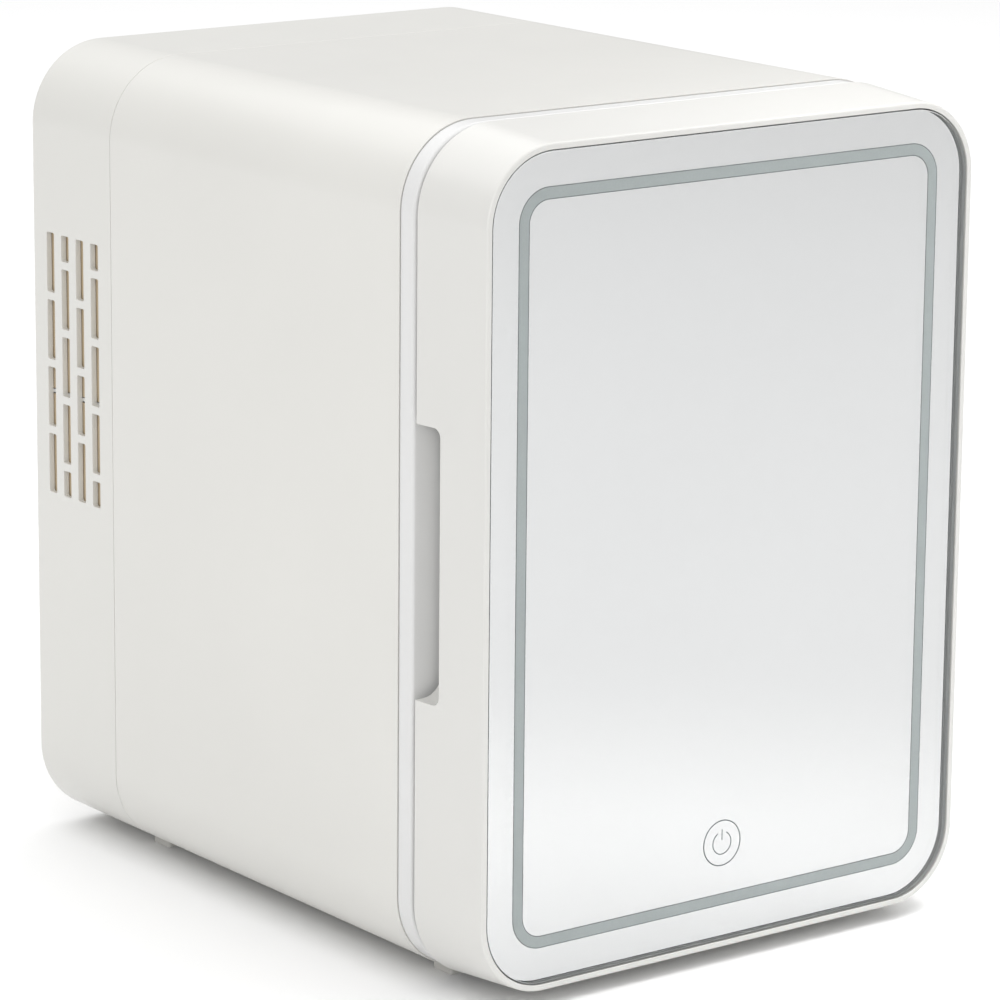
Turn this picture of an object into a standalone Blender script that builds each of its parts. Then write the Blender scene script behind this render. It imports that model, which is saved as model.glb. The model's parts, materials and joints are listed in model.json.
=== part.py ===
"""A compact thermoelectric fridge with a mirror door, built from separate named pieces.

Units are metres and +Z is up. The door faces -Y and its hinge is on the +X side. The origin is
under the middle of the fridge, on the surface that its feet stand on.
"""
import math

import bmesh
import bpy
from mathutils import Matrix, Vector

# ---- Driving dimensions -------------------------------------------------------------------
WIDTH = 0.243
DEPTH = 0.310
HEIGHT = 0.335
FOOT_HEIGHT = 0.004
CORNER = 0.033            # radius of the outline's corners, seen from the front
CORNER_STEPS = 9
GAP = 0.0003              # clearance between pieces that meet
OVER = 0.002              # how far a cutter runs past the surface that it opens

DOOR_DEPTH = 0.039
SEAL_GAP = 0.0028         # shadow gap between the door and the front frame
FRAME_DEPTH = 0.0084
COVER_DEPTH = 0.0608
WALL = 0.0025             # outer plastic shells

# ---- Levels worked out from them ----------------------------------------------------------
HALF_WIDTH = WIDTH / 2
FRONT = -DEPTH / 2
BACK = DEPTH / 2
BOTTOM = FOOT_HEIGHT
TOP = HEIGHT
MIDDLE = (BOTTOM + TOP) / 2
HALF_HEIGHT = (TOP - BOTTOM) / 2
DOOR_BACK = FRONT + DOOR_DEPTH
FRAME_FRONT = DOOR_BACK + SEAL_GAP
FRAME_BACK = FRAME_FRONT + FRAME_DEPTH - GAP
SHELL_FRONT = FRAME_FRONT + FRAME_DEPTH
COVER_FRONT = BACK - COVER_DEPTH
SHELL_BACK = COVER_FRONT - GAP

# ---- Door ---------------------------------------------------------------------------------
DOOR_FILLET = 0.001
DOOR_DRAFT = 0.003        # how far the door's sides slope in from back to front
BEZEL = 0.0055            # door's outer face to the edge of the mirror's recess
GLASS_THICKNESS = 0.004
GLASS_GAP = 0.0004        # dark line round the glass
GLASS_FRONT = FRONT + GAP
GLASS_BACK = GLASS_FRONT + GLASS_THICKNESS
LEDGE_THICKNESS = 0.0024  # flange of the door shell that the glass rests on
LEDGE_WIDTH = 0.008
STRIP_INSET = 0.0197      # door's outer face to the frosted band
STRIP_WIDTH = 0.0042
KEY_HEIGHT = 0.0488       # height of the touch key's centre
DOOR_WALL = 0.0048        # at the door's back edge; the sloping side leaves less in front
PANEL_THICKNESS = 0.003
PLUG_HALF_WIDTH = 0.086
PLUG_BACK = -0.098
PLUG_RIM = 0.007

GRIP_BOTTOM = 0.1180
GRIP_TOP = 0.2245
GRIP_REACH = 0.0138       # along the door's thickness
GRIP_DEPTH = 0.0125       # in from the side
GRIP_WALL = 0.0025

# ---- Hinge --------------------------------------------------------------------------------
HINGE_X = HALF_WIDTH - 0.006
HINGE_Y = DOOR_BACK - 0.011
HINGE_OFFSET = 0.1205     # lug centres above and below the middle
LUG_HEIGHT = 0.008
LUG_RADIUS = 0.0046
NOTCH_CLEARANCE = 0.001
NOTCH_LEFT = 0.0056
NOTCH_FRONT = 0.0100
PIN_RADIUS = 0.0015
BUSH_RADIUS = 0.0028
PIN_REACH = 0.011         # pin's half length

# ---- Cabinet ------------------------------------------------------------------------------
ROOM_HALF_WIDTH = 0.0905
ROOM_BOTTOM = 0.037
ROOM_TOP = 0.302
ROOM_BACK = 0.058
ROOM_CORNER = 0.012
LINER_WALL = 0.002
LEDGE_HEIGHTS = (0.100, 0.168, 0.236)
SHELF_THICKNESS = 0.003
SHELF_FRONT = -0.062
SHELF_BACK = 0.022

# ---- Cooling unit, along Y from the compartment to the back --------------------------------
UNIT_HEIGHT = 0.170
COLD_SINK_HALF = 0.045
COLD_FAN_FRONT = 0.030
COLD_FAN_SIZE = 0.050
COLD_FAN_DEPTH = 0.010
BLOCK_HALF = 0.020
FOAM_BACK = 0.090
PARTITION_THICKNESS = 0.002
HOT_BASE_FRONT = 0.0944
HOT_BASE = 0.005
HOT_FIN = 0.0275
HOT_FAN_FRONT = 0.1275
HOT_FAN_SIZE = 0.080
HOT_FAN_DEPTH = 0.015

PARTITION_BACK = FOAM_BACK + GAP + PARTITION_THICKNESS
BOARD_FRONT = 0.103
SUPPLY_BOARD = ((-0.078, 0.020), (0.064, 0.108))       # X and Z limits
CONTROL_BOARD = ((0.060, 0.108), (0.150, 0.220))

# ---- Rear cover ---------------------------------------------------------------------------
COVER_FILLET = 0.003
SLOT_WIDTH = 0.005
SLOT_LENGTH = 0.025
SLOT_BRIDGE = 0.0033
SLOT_COLUMNS = 4
SLOT_ROWS = 4
SLOT_PITCH = 0.0112
SLOT_TOP = 0.2584
SLOT_BACK = 0.0147        # last column's centre in front of the cover's back face
SOCKET_HEIGHT = 0.046
SOCKET_PANEL_DEPTH = 0.0035
SWITCH_X = 0.056
MAINS_X = -0.058
LOW_VOLT_X = -0.008
SCREW_X = 0.097
SCREW_LOW = 0.047
SCREW_HIGH = 0.292
SCREW_SINK = 0.0014       # depth of the round sinking for a screw's head

# ---- Feet ---------------------------------------------------------------------------------
FOOT_SIZE = (0.014, 0.012)
FOOT_X = 0.088
FOOT_FRONT = SHELL_FRONT + 0.0065
FOOT_BACK = COVER_FRONT + 0.0068

parts = None
cutters = None


# ---- Scene and materials -------------------------------------------------------------------
def start_scene():
    """Empty the scene and make the two collections."""
    global parts, cutters
    for item in list(bpy.data.objects):
        bpy.data.objects.remove(item, do_unlink=True)
    parts = bpy.data.collections.new("mini_fridge")
    cutters = bpy.data.collections.new("cutters")
    bpy.context.scene.collection.children.link(parts)
    bpy.context.scene.collection.children.link(cutters)


def material(name, colour, roughness, metallic=0.0, transmission=0.0):
    """A Principled material, made once for each name."""
    found = bpy.data.materials.get(name)
    if found:
        return found
    made = bpy.data.materials.new(name)
    made.use_nodes = True
    shader = made.node_tree.nodes["Principled BSDF"]
    shader.inputs["Base Color"].default_value = (*colour, 1.0)
    shader.inputs["Roughness"].default_value = roughness
    shader.inputs["Metallic"].default_value = metallic
    shader.inputs["Transmission Weight"].default_value = transmission
    made.diffuse_color = (*colour, 1.0)
    return made


def finishes():
    """Every finish that the fridge uses."""
    return {
        "gloss_white": material("gloss_white", (0.78, 0.78, 0.75), 0.22),
        "door_white": material("door_white", (0.79, 0.79, 0.77), 0.20),
        "liner_white": material("liner_white", (0.82, 0.83, 0.83), 0.35),
        "clear": material("clear", (0.90, 0.93, 0.94), 0.08, transmission=0.6),
        "mirror": material("mirror", (0.86, 0.87, 0.88), 0.03, metallic=1.0),
        "foam": material("foam", (0.86, 0.84, 0.76), 0.90),
        "aluminium": material("aluminium", (0.72, 0.73, 0.74), 0.35, metallic=1.0),
        "steel": material("steel", (0.60, 0.60, 0.60), 0.28, metallic=1.0),
        "brass": material("brass", (0.71, 0.55, 0.27), 0.30, metallic=1.0),
        "ceramic": material("ceramic", (0.88, 0.88, 0.86), 0.50),
        "black": material("black", (0.03, 0.03, 0.03), 0.45),
        "board": material("board", (0.04, 0.20, 0.09), 0.50),
        "led_board": material("led_board", (0.85, 0.85, 0.82), 0.45),
        "rubber_grey": material("rubber_grey", (0.55, 0.55, 0.54), 0.75),
        "rubber_white": material("rubber_white", (0.70, 0.70, 0.68), 0.70),
        "lead_red": material("lead_red", (0.45, 0.03, 0.03), 0.55),
    }


# ---- Shape helpers -------------------------------------------------------------------------
def put(name, mesh, finish=None, location=(0, 0, 0)):
    """Wrap a mesh in an object, as a part when it has a finish and as a cutter when not."""
    made = bpy.data.objects.new(name, mesh)
    made.location = location
    if finish is None:
        cutters.objects.link(made)
        made.hide_render = True
        made.display_type = "WIRE"
    else:
        parts.objects.link(made)
        mesh.materials.clear()
        mesh.materials.append(finish)
        mesh.shade_smooth()
        mesh.set_sharp_from_angle(angle=math.radians(35))
    return made


def mesh_from(name, shape):
    """Turn a bmesh into a mesh."""
    bmesh.ops.recalc_face_normals(shape, faces=shape.faces)
    mesh = bpy.data.meshes.new(name)
    shape.to_mesh(mesh)
    shape.free()
    return mesh


def edges_along(shape, axis, wanted=lambda middle: True):
    """The straight edges that run along an axis and whose middle passes a test."""
    found = []
    for edge in shape.edges:
        span = edge.verts[1].co - edge.verts[0].co
        middle = (edge.verts[0].co + edge.verts[1].co) / 2
        if abs(span[axis]) > 0.999 * span.length and wanted(middle):
            found.append(edge)
    return found


def edges_in_plane(shape, axis, level):
    """The edges that lie in the plane where a coordinate has one value."""
    return [edge for edge in shape.edges
            if all(abs(vert.co[axis] - level) < 1e-6 for vert in edge.verts)]


def round_edges(shape, edges, radius, steps):
    """Bevel edges to a round of a given radius."""
    bmesh.ops.bevel(shape, geom=edges, offset=radius, segments=steps, profile=0.5,
                    affect="EDGES", clamp_overlap=True)


def block(name, x, y, z, finish=None, corner=0.0, steps=CORNER_STEPS, axis=1,
          fillet=0.0, fillet_steps=3, fillet_side=-1):
    """A box between pairs of limits.

    corner rounds the four edges along an axis, and fillet rounds the rim of the end face on
    one side of that axis.
    """
    shape = bmesh.new()
    bmesh.ops.create_cube(shape, size=1.0)
    size = Vector((x[1] - x[0], y[1] - y[0], z[1] - z[0]))
    centre = Vector((x[1] + x[0], y[1] + y[0], z[1] + z[0])) / 2
    bmesh.ops.scale(shape, vec=size, verts=shape.verts)
    if corner > 0:
        round_edges(shape, edges_along(shape, axis), corner, steps)
    if fillet > 0:
        rim = edges_in_plane(shape, axis, fillet_side * size[axis] / 2)
        round_edges(shape, rim, fillet, fillet_steps)
    return put(name, mesh_from(name, shape), finish, centre)


def outline(name, inset, y, finish=None, **options):
    """A slab with the fridge's own outline, set in by an equal amount all round."""
    half_width = HALF_WIDTH - inset
    half_height = HALF_HEIGHT - inset
    return block(name, (-half_width, half_width), y, (MIDDLE - half_height, MIDDLE + half_height),
                 finish, corner=max(CORNER - inset, 0.002), **options)


def rod(name, radius, start, end, finish=None, steps=24):
    """A round bar from one point to another along an axis."""
    start = Vector(start)
    end = Vector(end)
    shape = bmesh.new()
    bmesh.ops.create_cone(shape, cap_ends=True, segments=steps, radius1=radius, radius2=radius,
                          depth=(end - start).length)
    turn = Vector((0, 0, 1)).rotation_difference(end - start).to_matrix().to_4x4()
    bmesh.ops.transform(shape, matrix=turn, verts=shape.verts)
    return put(name, mesh_from(name, shape), finish, (start + end) / 2)


def turned(name, profile, location, finish, steps=24, face_back=False):
    """A turned piece: a profile of (radius, height) points swept round with a Screw modifier.

    The profile runs down the outer side, top to bottom. face_back lays the axis along +Y.
    """
    mesh = bpy.data.meshes.new(name)
    points = [(radius, 0.0, height) for radius, height in profile]
    closed = profile[0][0] > 0
    edges = [(i, i + 1) for i in range(len(points) - 1)]
    if closed:
        edges.append((len(points) - 1, 0))
    mesh.from_pydata(points, edges, [])
    made = bpy.data.objects.new(name, mesh)
    parts.objects.link(made)
    made.location = location
    if face_back:
        made.rotation_euler = (-math.pi / 2, 0, 0)
    screw = made.modifiers.new("turn", "SCREW")
    screw.angle = 2 * math.pi
    screw.steps = steps
    screw.render_steps = steps
    screw.use_merge_vertices = True
    screw.merge_threshold = 0.00001
    screw.use_normal_calculate = False
    screw.use_smooth_shade = True
    mesh.materials.append(finish)
    return made


def boolean(target, other, operation):
    """Cut or join another closed shape."""
    step = target.modifiers.new(other.name, "BOOLEAN")
    step.operation = operation
    step.solver = "EXACT"
    step.object = other
    return target


def cut(target, *others):
    """Take shapes away from a part."""
    for other in others:
        boolean(target, other, "DIFFERENCE")


def join(target, *others):
    """Add shapes to a part."""
    for other in others:
        boolean(target, other, "UNION")


def merged(name, pieces, finish=None):
    """Several closed shapes that stay apart, in one mesh, for one cut or one join."""
    shape = bmesh.new()
    for piece in pieces:
        start = len(shape.verts)
        shape.from_mesh(piece.data)
        shape.verts.ensure_lookup_table()
        bmesh.ops.transform(shape, matrix=Matrix.Translation(piece.location),
                            verts=shape.verts[start:])
        bpy.data.objects.remove(piece, do_unlink=True)
    return put(name, mesh_from(name, shape), finish)


def strut(name, a, b, width, thickness):
    """A flat bar between two points in a plane across Y, centred on a's Y."""
    a = Vector(a)
    b = Vector(b)
    shape = bmesh.new()
    bmesh.ops.create_cube(shape, size=1.0)
    bmesh.ops.scale(shape, vec=((b - a).length, thickness, width), verts=shape.verts)
    slope = -math.atan2(b.z - a.z, b.x - a.x)
    bmesh.ops.transform(shape, matrix=Matrix.Rotation(slope, 4, "Y"), verts=shape.verts)
    return put(name, mesh_from(name, shape), None, (a + b) / 2)


def hang_on(parent, children):
    """Parent pieces to an empty without moving them."""
    for child in children:
        child.parent = parent
        child.matrix_parent_inverse = Matrix.Translation(-parent.location)


# ---- Cabinet -------------------------------------------------------------------------------
def make_main_shell(finish):
    """The outer shell: a tube with the fridge's outline, open at the front and the back."""
    shell = outline("main_shell", 0, (SHELL_FRONT, SHELL_BACK), finish["gloss_white"])
    cut(shell, outline("shell_bore", WALL, (SHELL_FRONT - OVER, SHELL_BACK + OVER)))
    for side in (-1, 1):
        cut(shell, foot_hole("shell_foot_hole", side, FOOT_FRONT))
    return shell


def foot_hole(name, side, y):
    """The hole in a bottom wall that a foot's stem goes through."""
    x = side * FOOT_X
    return rod(name, 0.0028, (x, y, BOTTOM - OVER), (x, y, BOTTOM + WALL + OVER), steps=16)


def make_front_frame(finish):
    """The frame between shell and liner, with the two hinge lugs."""
    frame = outline("front_frame", 0.0006, (FRAME_FRONT, FRAME_BACK), finish["gloss_white"],
                    fillet=0.0016, fillet_steps=2)
    mouth = block("frame_mouth", (-ROOM_HALF_WIDTH, ROOM_HALF_WIDTH),
                  (FRAME_FRONT - OVER, FRAME_BACK + OVER), (ROOM_BOTTOM, ROOM_TOP),
                  corner=ROOM_CORNER, steps=5)
    pocket = outline("frame_pocket", 0.0034, (FRAME_FRONT + WALL, FRAME_BACK + OVER))
    cut(frame, pocket, mouth)
    for level in (-1, 1):
        z = MIDDLE + level * HINGE_OFFSET
        z_range = (z - LUG_HEIGHT / 2, z + LUG_HEIGHT / 2)
        tongue = block("lug_tongue", (HINGE_X - LUG_RADIUS, HINGE_X + LUG_RADIUS),
                       (HINGE_Y - LUG_RADIUS, FRAME_BACK - 0.001), z_range, axis=2)
        round_front(tongue, LUG_RADIUS)
        join(frame, tongue)
        eye = rod("lug_eye", BUSH_RADIUS + GAP, (HINGE_X, HINGE_Y, z_range[0] - OVER),
                  (HINGE_X, HINGE_Y, z_range[1] + OVER), steps=16)
        cut(frame, eye)
    return frame


def round_front(piece, radius):
    """Round the two upright front edges of a block."""
    shape = bmesh.new()
    shape.from_mesh(piece.data)
    round_edges(shape, edges_along(shape, 2, lambda middle: middle.y < 0), radius * 0.98, 6)
    shape.to_mesh(piece.data)
    shape.free()


def make_liner(finish):
    """The compartment: a tub open at the front, with three pairs of shelf ledges."""
    outer = ROOM_HALF_WIDTH + LINER_WALL
    front = FRAME_FRONT + WALL + GAP
    liner = block("inner_liner", (-outer, outer), (front, ROOM_BACK + LINER_WALL),
                  (ROOM_BOTTOM - LINER_WALL, ROOM_TOP + LINER_WALL), finish["liner_white"],
                  corner=ROOM_CORNER + LINER_WALL, steps=5)
    cut(liner, block("liner_room", (-ROOM_HALF_WIDTH, ROOM_HALF_WIDTH),
                     (front - OVER, ROOM_BACK), (ROOM_BOTTOM, ROOM_TOP),
                     corner=ROOM_CORNER, steps=5))
    ledges = []
    for level in LEDGE_HEIGHTS:
        for side in (-1, 1):
            wall = side * (ROOM_HALF_WIDTH + LINER_WALL / 2)
            tip = side * (ROOM_HALF_WIDTH - 0.005)
            ledges.append(block("ledge", (min(wall, tip), max(wall, tip)),
                                (SHELF_FRONT, 0.050), (level - 0.0022, level)))
    join(liner, merged("liner_ledges", ledges))
    hole = BLOCK_HALF + 0.001
    cut(liner, block("liner_block_hole", (-hole, hole), (ROOM_BACK - OVER, ROOM_BACK + 2 * OVER),
                     (UNIT_HEIGHT - hole, UNIT_HEIGHT + hole)))
    return liner


def make_insulation(finish):
    """Foam panels between liner and shell, and behind the liner."""
    inner = ROOM_HALF_WIDTH + LINER_WALL + GAP
    outer = HALF_WIDTH - WALL - GAP
    y = (SHELL_FRONT + GAP, FOAM_BACK)
    side_z = (BOTTOM + CORNER, TOP - CORNER)
    panels = []
    for name, side in (("insulation_left", -1), ("insulation_right", 1)):
        x = sorted((side * inner, side * outer))
        panels.append(block(name, x, y, side_z, finish["foam"]))
    flat = HALF_WIDTH - CORNER
    low = (BOTTOM + WALL + GAP, ROOM_BOTTOM - LINER_WALL - GAP)
    high = (ROOM_TOP + LINER_WALL + GAP, TOP - WALL - GAP)
    panels.append(block("insulation_bottom", (-flat, flat), y, low, finish["foam"]))
    panels.append(block("insulation_top", (-flat, flat), y, high, finish["foam"]))
    back = block("insulation_back", (-ROOM_HALF_WIDTH, ROOM_HALF_WIDTH),
                 (ROOM_BACK + LINER_WALL + GAP, FOAM_BACK), (ROOM_BOTTOM, ROOM_TOP),
                 finish["foam"])
    hole = BLOCK_HALF + 0.001
    cut(back, block("foam_block_hole", (-hole, hole), (ROOM_BACK, FOAM_BACK + OVER),
                    (UNIT_HEIGHT - hole, UNIT_HEIGHT + hole)))
    panels.append(back)
    return panels


def make_shelf(finish):
    """The slotted shelf, which lies on the middle pair of ledges."""
    half = ROOM_HALF_WIDTH - 0.001
    z = LEDGE_HEIGHTS[1] + GAP
    shelf = block("shelf", (-half, half), (SHELF_FRONT, SHELF_BACK), (z, z + SHELF_THICKNESS),
                  finish["clear"], corner=0.004, steps=3, axis=2)
    slots = []
    count = 11
    pitch = 2 * half / (count + 1)
    for index in range(count):
        x = -half + pitch * (index + 1)
        slots.append(block("slot", (x - 0.0035, x + 0.0035),
                           (SHELF_FRONT + 0.012, SHELF_BACK - 0.012),
                           (z - OVER, z + SHELF_THICKNESS + OVER),
                           corner=0.0034, steps=2, axis=2))
    cut(shelf, merged("shelf_slots", slots))
    return shelf


def make_partition(finish):
    """The plate behind the foam, with a post for each cover screw and props for the boards."""
    y = (FOAM_BACK + GAP, PARTITION_BACK)
    plate = outline("back_partition", WALL + GAP, y, finish["gloss_white"])
    for x in (-SCREW_X, SCREW_X):
        for z in (SCREW_LOW, SCREW_HIGH):
            join(plate, rod("post", 0.0045, (x, y[0] + 0.001, z), (x, BACK - WALL - GAP, z),
                            steps=16))
            cut(plate, rod("pilot", 0.0014, (x, BACK - 0.020, z), (x, BACK + OVER, z), steps=12))
    props = []
    for x_range, z_range in (SUPPLY_BOARD, CONTROL_BOARD):
        for x in (x_range[0] + 0.004, x_range[1] - 0.004):
            for z in (z_range[0] + 0.004, z_range[1] - 0.004):
                props.append(rod("prop", 0.0025, (x, y[0] + 0.001, z), (x, BOARD_FRONT - GAP, z),
                                 steps=8))
    join(plate, merged("board_props", props))
    hole = BLOCK_HALF + 0.002
    cut(plate, block("plate_hole", (-hole, hole), (y[0] - OVER, y[1] + OVER),
                     (UNIT_HEIGHT - hole, UNIT_HEIGHT + hole)))
    return plate


# ---- Cooling unit --------------------------------------------------------------------------
def comb(name, finish, half_width, z, y_base, base, fin, count, fin_width):
    """A heat sink: a base with straight fins, drawn as one outline and extruded upward."""
    back = y_base + math.copysign(base, fin)
    tip = back + fin
    pitch = (2 * half_width - fin_width) / (count - 1)
    points = [(half_width, y_base), (-half_width, y_base)]
    for index in range(count):
        left = -half_width + index * pitch
        if index > 0:
            points.append((left, back))
        points += [(left, tip), (left + fin_width, tip)]
        if index < count - 1:
            points.append((left + fin_width, back))
    curve = bpy.data.curves.new(name, "CURVE")
    curve.dimensions = "2D"
    curve.fill_mode = "BOTH"
    curve.extrude = (z[1] - z[0]) / 2
    line = curve.splines.new("POLY")
    line.points.add(len(points) - 1)
    for point, (x, y) in zip(line.points, points):
        point.co = (x, y, 0, 1)
    line.use_cyclic_u = True
    sketch = bpy.data.objects.new(name + "_sketch", curve)
    cutters.objects.link(sketch)
    bpy.context.view_layer.update()
    seen = sketch.evaluated_get(bpy.context.evaluated_depsgraph_get())
    mesh = bpy.data.meshes.new_from_object(seen)
    bpy.data.objects.remove(sketch, do_unlink=True)
    shape = bmesh.new()
    shape.from_mesh(mesh)
    bmesh.ops.remove_doubles(shape, verts=shape.verts, dist=0.00001)
    return put(name, mesh_from(name, shape), finish, (0, 0, (z[0] + z[1]) / 2))


def make_cold_side(finish):
    """Finned cold plate, the block that carries heat through the foam, and the module."""
    reach = COLD_SINK_HALF
    cold = comb("cold_sink", finish["aluminium"], reach, (UNIT_HEIGHT - reach, UNIT_HEIGHT + reach),
                ROOM_BACK - GAP, 0.004, -0.011, 13, 0.0014)
    z = (UNIT_HEIGHT - BLOCK_HALF, UNIT_HEIGHT + BLOCK_HALF)
    x = (-BLOCK_HALF, BLOCK_HALF)
    carrier = block("cold_block", x, (ROOM_BACK, FOAM_BACK + 0.0002), z, finish["aluminium"])
    start = FOAM_BACK + 0.0002 + GAP
    end = HOT_BASE_FRONT - GAP
    module = block("thermoelectric_module", x, (start, start + 0.0008), z, finish["ceramic"])
    core = BLOCK_HALF - 0.0015
    join(module, block("module_core", (-core, core), (start + 0.0004, end - 0.0004),
                       (UNIT_HEIGHT - core, UNIT_HEIGHT + core)))
    join(module, block("module_plate", x, (end - 0.0008, end), z))
    return [cold, carrier, module]


def make_heat_sink(finish):
    """The finned hot sink behind the module."""
    return comb("heat_sink", finish["aluminium"], 0.050, (UNIT_HEIGHT - 0.055, UNIT_HEIGHT + 0.055),
                HOT_BASE_FRONT, HOT_BASE, HOT_FIN, 15, 0.0014)


def make_fan(name, finish, front, size, depth, hub_radius, blades, rotor_finish):
    """An axial fan: a square frame with a hub on four struts, and a rotor that turns in it."""
    half = size / 2
    z = (UNIT_HEIGHT - half, UNIT_HEIGHT + half)
    bore = half - 0.002
    frame = block(name + "_frame", (-half, half), (front, front + depth), z, finish,
                  corner=0.003, steps=2)
    cut(frame, rod("bore", bore, (0, front - OVER, UNIT_HEIGHT),
                   (0, front + depth + OVER, UNIT_HEIGHT), steps=32))
    corner = half - 0.004
    holes = []
    for x in (-corner, corner):
        for side in (-corner, corner):
            holes.append(rod("hole", 0.0016, (x, front - OVER, UNIT_HEIGHT + side),
                             (x, front + depth + OVER, UNIT_HEIGHT + side), steps=8))
    cut(frame, merged(name + "_holes", holes))
    plate = 0.0012
    near = hub_radius * 0.5
    far = (bore + 0.001) * 0.72
    arms = [strut("arm", (side * near, front + plate / 2, UNIT_HEIGHT + up * near),
                  (side * far, front + plate / 2, UNIT_HEIGHT + up * far), 0.003, plate)
            for side in (-1, 1) for up in (-1, 1)]
    join(frame, merged(name + "_arms", arms))
    join(frame, rod(name + "_seat", hub_radius, (0, front, UNIT_HEIGHT),
                    (0, front + plate, UNIT_HEIGHT), steps=20))
    axle = 0.0015
    join(frame, rod(name + "_axle", axle, (0, front + plate / 2, UNIT_HEIGHT),
                    (0, front + depth * 0.7, UNIT_HEIGHT), steps=12))
    rotor_front = front + plate + GAP
    rotor_back = front + depth - 0.0008
    cap = 0.0012
    length = rotor_back - rotor_front
    bearing = axle + GAP
    axle_clear = front + depth * 0.7 + GAP - rotor_front
    profile = [(0, length), (hub_radius, length), (hub_radius, 0), (hub_radius - cap, 0),
               (hub_radius - cap, length - 2 * cap), (bearing + cap, length - 2 * cap),
               (bearing + cap, 0), (bearing, 0), (bearing, axle_clear), (0, axle_clear)]
    rotor = turned(name + "_rotor", profile, (0, rotor_front, UNIT_HEIGHT), rotor_finish,
                   steps=20, face_back=True)
    inner = hub_radius - cap / 2
    shape = bmesh.new()
    for index in range(blades):
        shape.from_mesh(fan_blade(inner, bore - 0.0012, length, 2 * math.pi * index / blades))
    blade_set = put(name + "_blades", mesh_from(name + "_blades", shape), None,
                    (0, rotor_front, UNIT_HEIGHT))
    blade_set.rotation_euler = (-math.pi / 2, 0, 0)
    join(rotor, blade_set)
    return frame, rotor


def fan_blade(inner, outer, depth, turn):
    """One pitched blade, drawn about the Z axis from the hub outward, thicker at its root."""
    shape = bmesh.new()
    sections = 2
    thickness = 0.0012
    margin = 0.0008
    rings = []
    for index in range(sections + 1):
        radius = inner + (outer - inner) * index / sections
        lean = math.radians(24 - 6 * index / sections)
        half_chord = (depth / 2 - margin) / math.cos(math.radians(24))
        sweep = math.radians(9) * index / sections
        corners = []
        for along, across in ((-1, -1), (1, -1), (1, 1), (-1, 1)):
            local_y = along * half_chord * math.sin(lean) * 1.9 + across * thickness / 2
            local_z = depth / 2 + along * half_chord * math.cos(lean)
            point = Vector((radius, local_y, local_z))
            corners.append(shape.verts.new(Matrix.Rotation(turn + sweep, 3, "Z") @ point))
        rings.append(corners)
    for a, b in zip(rings, rings[1:]):
        for index in range(4):
            after = (index + 1) % 4
            shape.faces.new((a[index], b[index], b[after], a[after]))
    shape.faces.new(reversed(rings[0]))
    shape.faces.new(rings[-1])
    return mesh_from("blade", shape)


def make_cold_fan_cover(finish):
    """The slotted cover over the cold sink and its fan, inside the compartment."""
    reach = COLD_SINK_HALF + 0.0095
    wall = 0.0018
    front = COLD_FAN_FRONT - 0.0035
    z = (UNIT_HEIGHT - reach, UNIT_HEIGHT + reach)
    cover = block("cold_fan_cover", (-reach, reach), (front, ROOM_BACK - GAP), z,
                  finish["liner_white"], corner=0.008, steps=4, fillet=0.003, fillet_steps=2)
    inside = reach - wall
    cut(cover, block("cover_room", (-inside, inside), (front + wall, ROOM_BACK + OVER),
                     (UNIT_HEIGHT - inside, UNIT_HEIGHT + inside), corner=0.0062, steps=4))
    slots = []
    rows = 7
    pitch = 0.0065
    for index in range(rows):
        offset = (index - (rows - 1) / 2) * pitch
        half = math.sqrt((COLD_FAN_SIZE / 2) ** 2 - offset ** 2) - 0.001
        slots.append(block("slot", (-half, half), (front - OVER, front + wall + OVER),
                           (UNIT_HEIGHT + offset - 0.0018, UNIT_HEIGHT + offset + 0.0018)))
    for up in (-1, 1):
        for index in range(6):
            x = (index - 2.5) * 0.014
            edge = UNIT_HEIGHT + up * reach
            slots.append(block("slot", (x - 0.004, x + 0.004), (0.043, 0.052),
                               (edge - 2 * OVER, edge + 2 * OVER)))
    cut(cover, merged("cover_slots", slots))
    return cover


# ---- Rear cover and what it carries ----------------------------------------------------------
def side_slot_levels(column):
    """Bottom and top of every vent slot in a column: long slots, laid like bricks."""
    total = SLOT_ROWS * SLOT_LENGTH + (SLOT_ROWS - 1) * SLOT_BRIDGE
    bottom = SLOT_TOP - total
    levels = []
    start = SLOT_TOP
    if column % 2:
        start += (SLOT_LENGTH + SLOT_BRIDGE) / 2
    while start > bottom + SLOT_BRIDGE:
        levels.append((max(start - SLOT_LENGTH, bottom), min(start, SLOT_TOP)))
        start -= SLOT_LENGTH + SLOT_BRIDGE
    return levels


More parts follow.
